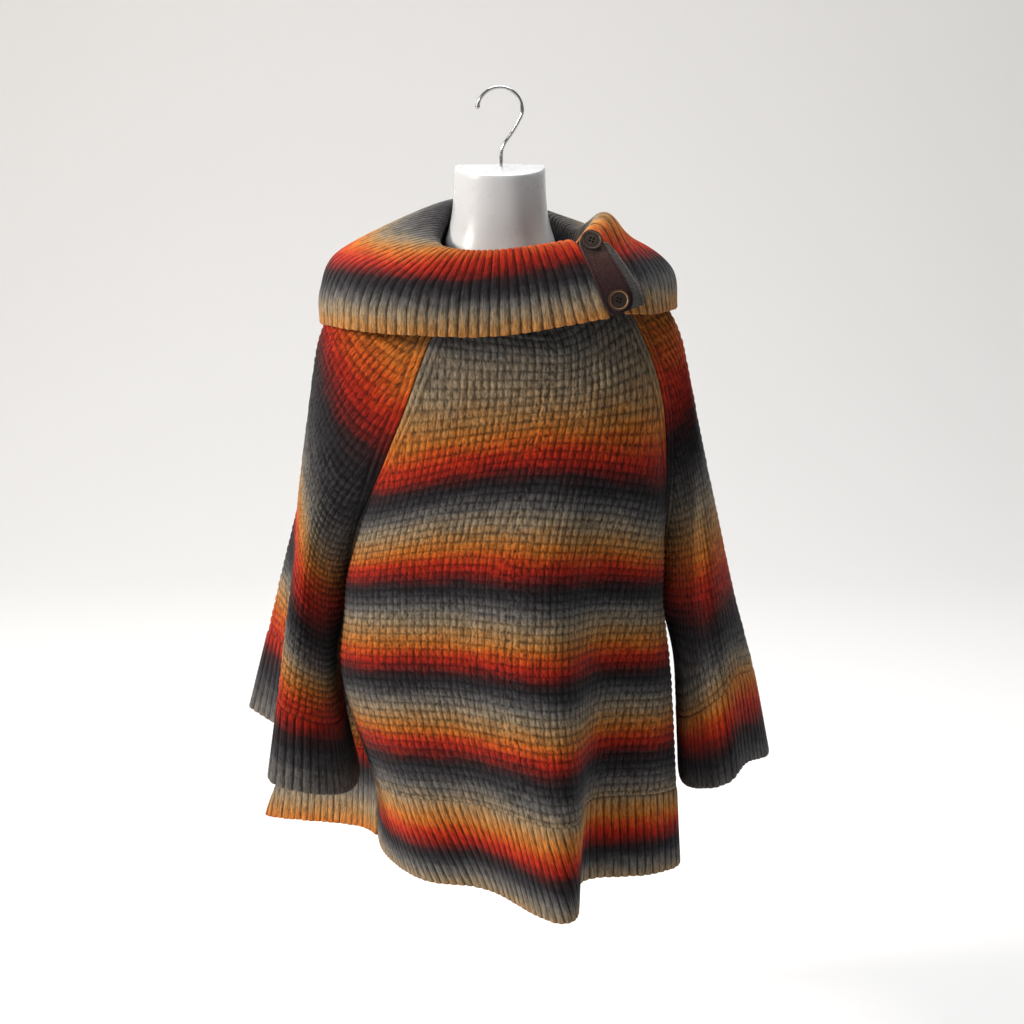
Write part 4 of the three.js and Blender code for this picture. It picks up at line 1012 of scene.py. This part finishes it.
def makeForm():
    angle = np.arange(form["around"]) * 360 / form["around"]
    rings = [levelRing(section, angle, form["neckTilt"] if k < 2 else 0)
             for k, section in enumerate(form["neck"])]
    for row in form["shoulderRows"]:
        here = np.full(angle.shape, float(row))
        around = yokePoint(here, angle + 3) - yokePoint(here, angle - 3)
        down = yokePoint(here + 6, angle) - yokePoint(here - 6, angle)
        rings.append(yokePoint(here, angle) - unit(np.cross(around, down)) * form["inset"])
    rings += [levelRing(section, angle, 0) for section in form["trunk"]]
    rings = np.array(rings)
    # smooth rings between the given ones, with the top rim left crisp
    between = form["between"]
    count = (len(rings) - 1) * between
    steps = [0, 0.5, 1] + [k / between for k in range(between + 1, count + 1)]
    stops = {"i": list(range(len(rings)))}
    smooth = np.zeros((len(steps), len(angle), 3))
    for j in range(len(angle)):
        for axis in range(3):
            stops["v"] = rings[:, j, axis]
            smooth[:, j, axis] = readCurve(stops, "i", "v", np.array(steps))
    bpy.ops.object.select_all(action="DESELECT")
    tall = 0.2
    bpy.ops.mesh.primitive_cylinder_add(vertices=form["around"], radius=tall / 2, depth=tall,
                                        end_fill_type="NGON")
    piece = bpy.context.object
    piece.name = "torso_form"
    # the start cylinder's wall is cut into rings, then each ring is drawn to its section
    bpy.ops.object.mode_set(mode="EDIT")
    bpy.ops.mesh.select_all(action="SELECT")
    for k in range(1, len(steps) - 1):
        bpy.ops.mesh.select_all(action="SELECT")
        bpy.ops.mesh.bisect(plane_co=(0, 0, tall / 2 - tall * k / (len(steps) - 1)), plane_no=(0, 0, 1))
    bpy.ops.object.mode_set(mode="OBJECT")
    co = np.zeros(len(piece.data.vertices) * 3, np.float32)
    piece.data.vertices.foreach_get("co", co)
    co = co.reshape(-1, 3)
    level = np.rint((tall / 2 - co[:, 2]) / tall * (len(steps) - 1))
    level = np.clip(level, 0, len(steps) - 1).astype(int)
    turn = np.degrees(np.arctan2(-co[:, 1], co[:, 0])) % 360
    column = np.rint(turn / (360 / form["around"])).astype(int) % form["around"]
    placed = smooth[level, column] / 1000
    piece.data.vertices.foreach_set("co", placed.astype(np.float32).ravel())
    piece.data.update()
    bpy.ops.object.mode_set(mode="EDIT")
    bpy.ops.mesh.select_all(action="SELECT")
    bpy.ops.mesh.normals_make_consistent(inside=False)
    bpy.ops.object.mode_set(mode="OBJECT")
    bevelEdges(piece, 0.0012, 40)
    bpy.ops.object.shade_smooth_by_angle(angle=math.radians(50))
    print("torso form", len(piece.data.vertices), "points")
    return piece


# the hook: a wire bow over the rail, and a stem let into the neck
hook = {"bowRadius": 23.6, "wire": 4.0, "tip": 2.88, "footX": 1.5, "footZ": -112,
        "stem": [(18, -43), (11, -54), (4.5, -64), (1.9, -72), (1.5, -82)]}


def makeHook():
    radius = hook["bowRadius"] + hook["wire"] / 2
    route = [(radius * math.cos(math.radians(a)), -hook["bowRadius"] + radius * math.sin(math.radians(a)))
             for a in range(172, -22, -15)]
    route += hook["stem"] + [(hook["footX"], hook["footZ"])]
    bpy.ops.object.select_all(action="DESELECT")
    bpy.ops.curve.primitive_bezier_curve_add()
    wire = bpy.context.object
    spline = wire.data.splines[0]
    spline.bezier_points.add(len(route) - 2)
    for point, (x, z) in zip(spline.bezier_points, route):
        point.co = (x / 1000, 0, z / 1000)
        point.handle_left_type = point.handle_right_type = "AUTO"
    wire.data.dimensions = "3D"
    wire.data.resolution_u = 10
    wire.data.bevel_depth = hook["wire"] / 2000
    wire.data.bevel_resolution = 5
    wire.data.use_fill_caps = True
    bpy.ops.object.convert(target="MESH")
    wire = bpy.context.object
    x, z = route[0]
    bpy.ops.mesh.primitive_uv_sphere_add(segments=24, ring_count=16, radius=hook["tip"] / 1000,
                                         location=(x / 1000, 0, z / 1000))
    wire.select_set(True)
    bpy.context.view_layer.objects.active = wire
    bpy.ops.object.join()
    wire.name = "hook_wire"
    bpy.ops.object.shade_smooth_by_angle(angle=math.radians(40))
    return wire


# a button: a turned disc, its dish inset and pushed in, four holes bored through
button = {"radius": 12, "thick": 3.2, "rim": 2.6, "dish": 1.0, "hole": 1.2, "holeSpread": 1.86}


def makeButton(name, s, t, lift):
    mm = 0.001
    bpy.ops.object.select_all(action="DESELECT")
    bpy.ops.mesh.primitive_cylinder_add(vertices=64, radius=button["radius"] * mm,
                                        depth=button["thick"] * mm,
                                        location=(0, 0, button["thick"] / 2 * mm))
    disc = bpy.context.object
    disc.name = name
    bpy.ops.object.transform_apply(location=True)
    bpy.ops.object.mode_set(mode="EDIT")
    bpy.ops.mesh.select_all(action="DESELECT")
    bpy.ops.object.mode_set(mode="OBJECT")
    for face in disc.data.polygons:
        face.select = face.normal.z > 0.9
    bpy.ops.object.mode_set(mode="EDIT")
    bpy.ops.mesh.select_mode(type="FACE")
    bpy.ops.mesh.inset(thickness=(button["rim"] - 0.6) * mm)
    bpy.ops.mesh.inset(thickness=0.6 * mm, depth=-button["dish"] * mm)
    bpy.ops.mesh.inset(thickness=1.4 * mm)
    bpy.ops.mesh.inset(thickness=2.2 * mm, depth=0.25 * mm)
    bpy.ops.object.mode_set(mode="OBJECT")
    spread = button["holeSpread"] * mm
    for x, y in ((1, 1), (1, -1), (-1, 1), (-1, -1)):
        bpy.ops.object.select_all(action="DESELECT")
        bpy.ops.mesh.primitive_cylinder_add(vertices=20, radius=button["hole"] * mm, depth=12 * mm,
                                            location=(x * spread, y * spread, 0))
        drill = bpy.context.object
        bpy.ops.object.select_all(action="DESELECT")
        disc.select_set(True)
        bpy.context.view_layer.objects.active = disc
        bore = disc.modifiers.new("bore", "BOOLEAN")
        bore.operation = "DIFFERENCE"
        bore.object = drill
        bpy.ops.object.modifier_apply(modifier="bore")
        bpy.data.objects.remove(drill)
    bevelEdges(disc, 0.35 * mm, 35)
    bpy.ops.object.shade_smooth_by_angle(angle=math.radians(40))
    # seat it on the strap, facing away from it
    at = np.array([float(s)])
    across = np.array([float(t)])
    away = patchOutward(at, across)[0]
    seat = (patchPoint(at, across)[0] + away * (strap["lift"] + lift)) * mm
    side = unit(np.cross(away, [0.35, 0, 1.0]))
    upward = np.cross(side, away)
    turn = np.stack([side, -upward, away], -1)
    turn[:, 1] *= np.sign(np.linalg.det(turn))
    co = np.zeros(len(disc.data.vertices) * 3, np.float32)
    disc.data.vertices.foreach_get("co", co)
    flat = co.reshape(-1, 3).astype(float)
    radius = np.hypot(flat[:, 0], flat[:, 1]) * 1000
    disc.data.attributes.new("radius", "FLOAT", "POINT").data.foreach_set("value",
                                                                          radius.astype(np.float32))
    disc.data.attributes.new("place", "FLOAT_VECTOR", "POINT").data.foreach_set(
        "vector", flat.astype(np.float32).ravel())
    disc.data.vertices.foreach_set("co", (flat @ turn.T + seat).astype(np.float32).ravel())
    disc.data.update()
    print(name, "made")
    return disc


def formMaterial():
    material, tree, shader = newMaterial("glossy_white_plastic", 0.22)
    place = addNode(tree, "TexCoord")
    cloud = addNode(tree, "TexNoise", None, {"Vector": place.outputs["Object"], "Scale": 9.0, "Detail": 3})
    tone = addNode(tree, "Mix", {"data_type": "RGBA"},
                   {"Factor": cloud.outputs["Fac"], "A": (0.58, 0.6, 0.63, 1), "B": (0.66, 0.67, 0.68, 1)})
    tree.links.new(tone.outputs["Result"], shader.inputs["Base Color"])
    dust = addNode(tree, "TexNoise", None, {"Vector": place.outputs["Object"], "Scale": 60.0, "Detail": 4})
    rough = addNode(tree, "MapRange", None,
                    {"Value": dust.outputs["Fac"], 1: 0.3, 2: 0.7, 3: 0.24, 4: 0.38})
    tree.links.new(rough.outputs[0], shader.inputs["Roughness"])
    wave = addNode(tree, "Bump", None,
                   {"Height": cloud.outputs["Fac"], "Strength": 0.25, "Distance": 0.002})
    tree.links.new(wave.outputs["Normal"], shader.inputs["Normal"])
    shader.inputs["Coat Weight"].default_value = 0.3
    return material


def wireMaterial():
    material, tree, shader = newMaterial("bright_chrome", 0.14)
    place = addNode(tree, "TexCoord")
    scuff = addNode(tree, "TexNoise", None,
                    {"Vector": place.outputs["Object"], "Scale": 240.0, "Detail": 4})
    rough = addNode(tree, "MapRange", None,
                    {"Value": scuff.outputs["Fac"], 1: 0.35, 2: 0.7, 3: 0.1, 4: 0.32})
    tree.links.new(rough.outputs[0], shader.inputs["Roughness"])
    tone = addNode(tree, "Mix", {"data_type": "RGBA"},
                   {"Factor": scuff.outputs["Fac"], "A": (0.42, 0.42, 0.44, 1), "B": (0.6, 0.6, 0.61, 1)})
    tree.links.new(tone.outputs["Result"], shader.inputs["Base Color"])
    shader.inputs["Metallic"].default_value = 1.0
    return material


def buttonMaterial(name, centre, ring, rim):
    # rings of colour from the middle of the button to its edge
    material, tree, shader = newMaterial(name, 0.38)
    radius = addNode(tree, "Attribute", {"attribute_name": "radius"})
    place = addNode(tree, "Attribute", {"attribute_name": "place"})
    swirl = addNode(tree, "TexNoise", None,
                    {"Vector": place.outputs["Vector"], "Scale": 260.0, "Detail": 4, "Distortion": 1.5})
    moved = addNode(tree, "Math", {"operation": "MULTIPLY_ADD"},
                    {0: swirl.outputs["Fac"], 1: 0.5, 2: radius.outputs["Fac"]})
    share = addNode(tree, "Math", {"operation": "DIVIDE"}, {0: moved.outputs[0], 1: button["radius"]})
    stops = [(0, centre), (0.76, centre), (0.8, ring), (0.87, ring), (0.91, rim), (1, rim)]
    ramp = colourRamp(tree, share.outputs[0], stops)
    shade = addNode(tree, "MapRange", None,
                    {"Value": swirl.outputs["Fac"], 1: 0.3, 2: 0.7, 3: 0.7, 4: 1.25})
    tinted = addNode(tree, "VectorMath", {"operation": "SCALE"},
                     {0: ramp.outputs["Color"], "Scale": shade.outputs[0]})
    tree.links.new(tinted.outputs[0], shader.inputs["Base Color"])
    bump = addNode(tree, "Bump", None,
                   {"Height": swirl.outputs["Fac"], "Strength": 0.2, "Distance": 0.0004})
    tree.links.new(bump.outputs["Normal"], shader.inputs["Normal"])
    return material


print("form, hook and buttons")
hardPieces = [
    (makeForm(), "form", "form_plastic", formMaterial()),
    (makeHook(), "hook", "hook_wire", wireMaterial()),
    (makeButton("top_button", 0.16, 0.5, 0.7), "button_top", "buttons",
     buttonMaterial("dark_horn_button", (50, 38, 33), (86, 68, 52), (44, 33, 28))),
    (makeButton("low_button", 0.86, 0.5, 0.35), "button_low", "buttons",
     buttonMaterial("rimmed_horn_button", (44, 32, 28), (138, 104, 68), (62, 44, 32))),
]
for piece, node, slot, material in hardPieces:
    piece.data.materials.clear()
    piece.data.materials.append(material)
    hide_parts(node)
    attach(piece, "root")

# camera at the photograph's angle
view = {"target": (0.014, 0, -0.4955), "elevation": 13.0, "distance": 3.4, "lens": 101.3}
tilt = math.radians(view["elevation"])
cameraData = bpy.data.cameras.new("photo_view")
cameraData.lens = view["lens"]
cameraData.sensor_width = 36
camera = bpy.data.objects.new("photo_view", cameraData)
bpy.context.collection.objects.link(camera)
tx, ty, tz = view["target"]
camera.location = (tx, ty - view["distance"] * math.cos(tilt), tz + view["distance"] * math.sin(tilt))
camera.rotation_euler = (math.pi / 2 - tilt, 0, 0)
bpy.context.scene.camera = camera

# floor swept up into a backdrop, and soft light
room = {"floor": -1.25, "back": 2.6, "bend": 1.6, "top": 6.0, "half": 9.0, "front": -7.0}
bpy.ops.object.select_all(action="DESELECT")
bpy.ops.mesh.primitive_grid_add(x_subdivisions=2, y_subdivisions=40, size=2)
sweep = bpy.context.object
sweep.name = "paper_sweep"
for vertex in sweep.data.vertices:
    x, share = vertex.co.x, (vertex.co.y + 1) / 2
    if share < 0.4:
        y, z = mix(room["front"], room["back"], share / 0.4), 0
    elif share < 0.8:
        turn = (share - 0.4) / 0.4 * math.pi / 2
        y = room["back"] + room["bend"] * math.sin(turn)
        z = room["bend"] * (1 - math.cos(turn))
    else:
        y, z = room["back"] + room["bend"], mix(room["bend"], room["top"], (share - 0.8) / 0.2)
    vertex.co = (x * room["half"], y, z + room["floor"])
bpy.ops.object.shade_smooth()
paper, tree, shader = newMaterial("pale_paper", 0.95)
shader.inputs["Base Color"].default_value = (0.9, 0.9, 0.9, 1)
shader.inputs["Specular IOR Level"].default_value = 0.1
sweep.data.materials.append(paper)

lights = [
    {"name": "key_light", "at": (-3.3, -1.4, 1.0), "size": 0.8, "power": 155, "colour": (1.0, 0.93, 0.85)},
    {"name": "fill_light", "at": (2.2, -2.6, 0.2), "size": 2.0, "power": 1.5, "colour": (0.94, 0.97, 1.0)},
    {"name": "paper_light", "at": (0.0, 0.9, 2.2), "size": 2.5, "power": 120, "colour": (1, 1, 1)},
]
for how in lights:
    data = bpy.data.lights.new(how["name"], "AREA")
    data.size = how["size"]
    data.energy = how["power"]
    data.color = how["colour"]
    lamp = bpy.data.objects.new(how["name"], data)
    bpy.context.collection.objects.link(lamp)
    lamp.location = how["at"]
    aim = np.array((0, 0, -0.5)) - np.array(how["at"])
    fall = math.acos(-aim[2] / np.linalg.norm(aim))
    lamp.rotation_euler = (fall, 0, math.atan2(aim[1], aim[0]) - math.pi / 2)
world = bpy.data.worlds.new("white_room")
world.use_nodes = True
world.node_tree.nodes["Background"].inputs["Color"].default_value = (1, 1, 1, 1)
world.node_tree.nodes["Background"].inputs["Strength"].default_value = 0.17
bpy.context.scene.world = world
bpy.context.scene.view_settings.view_transform = "Standard"

print("done")
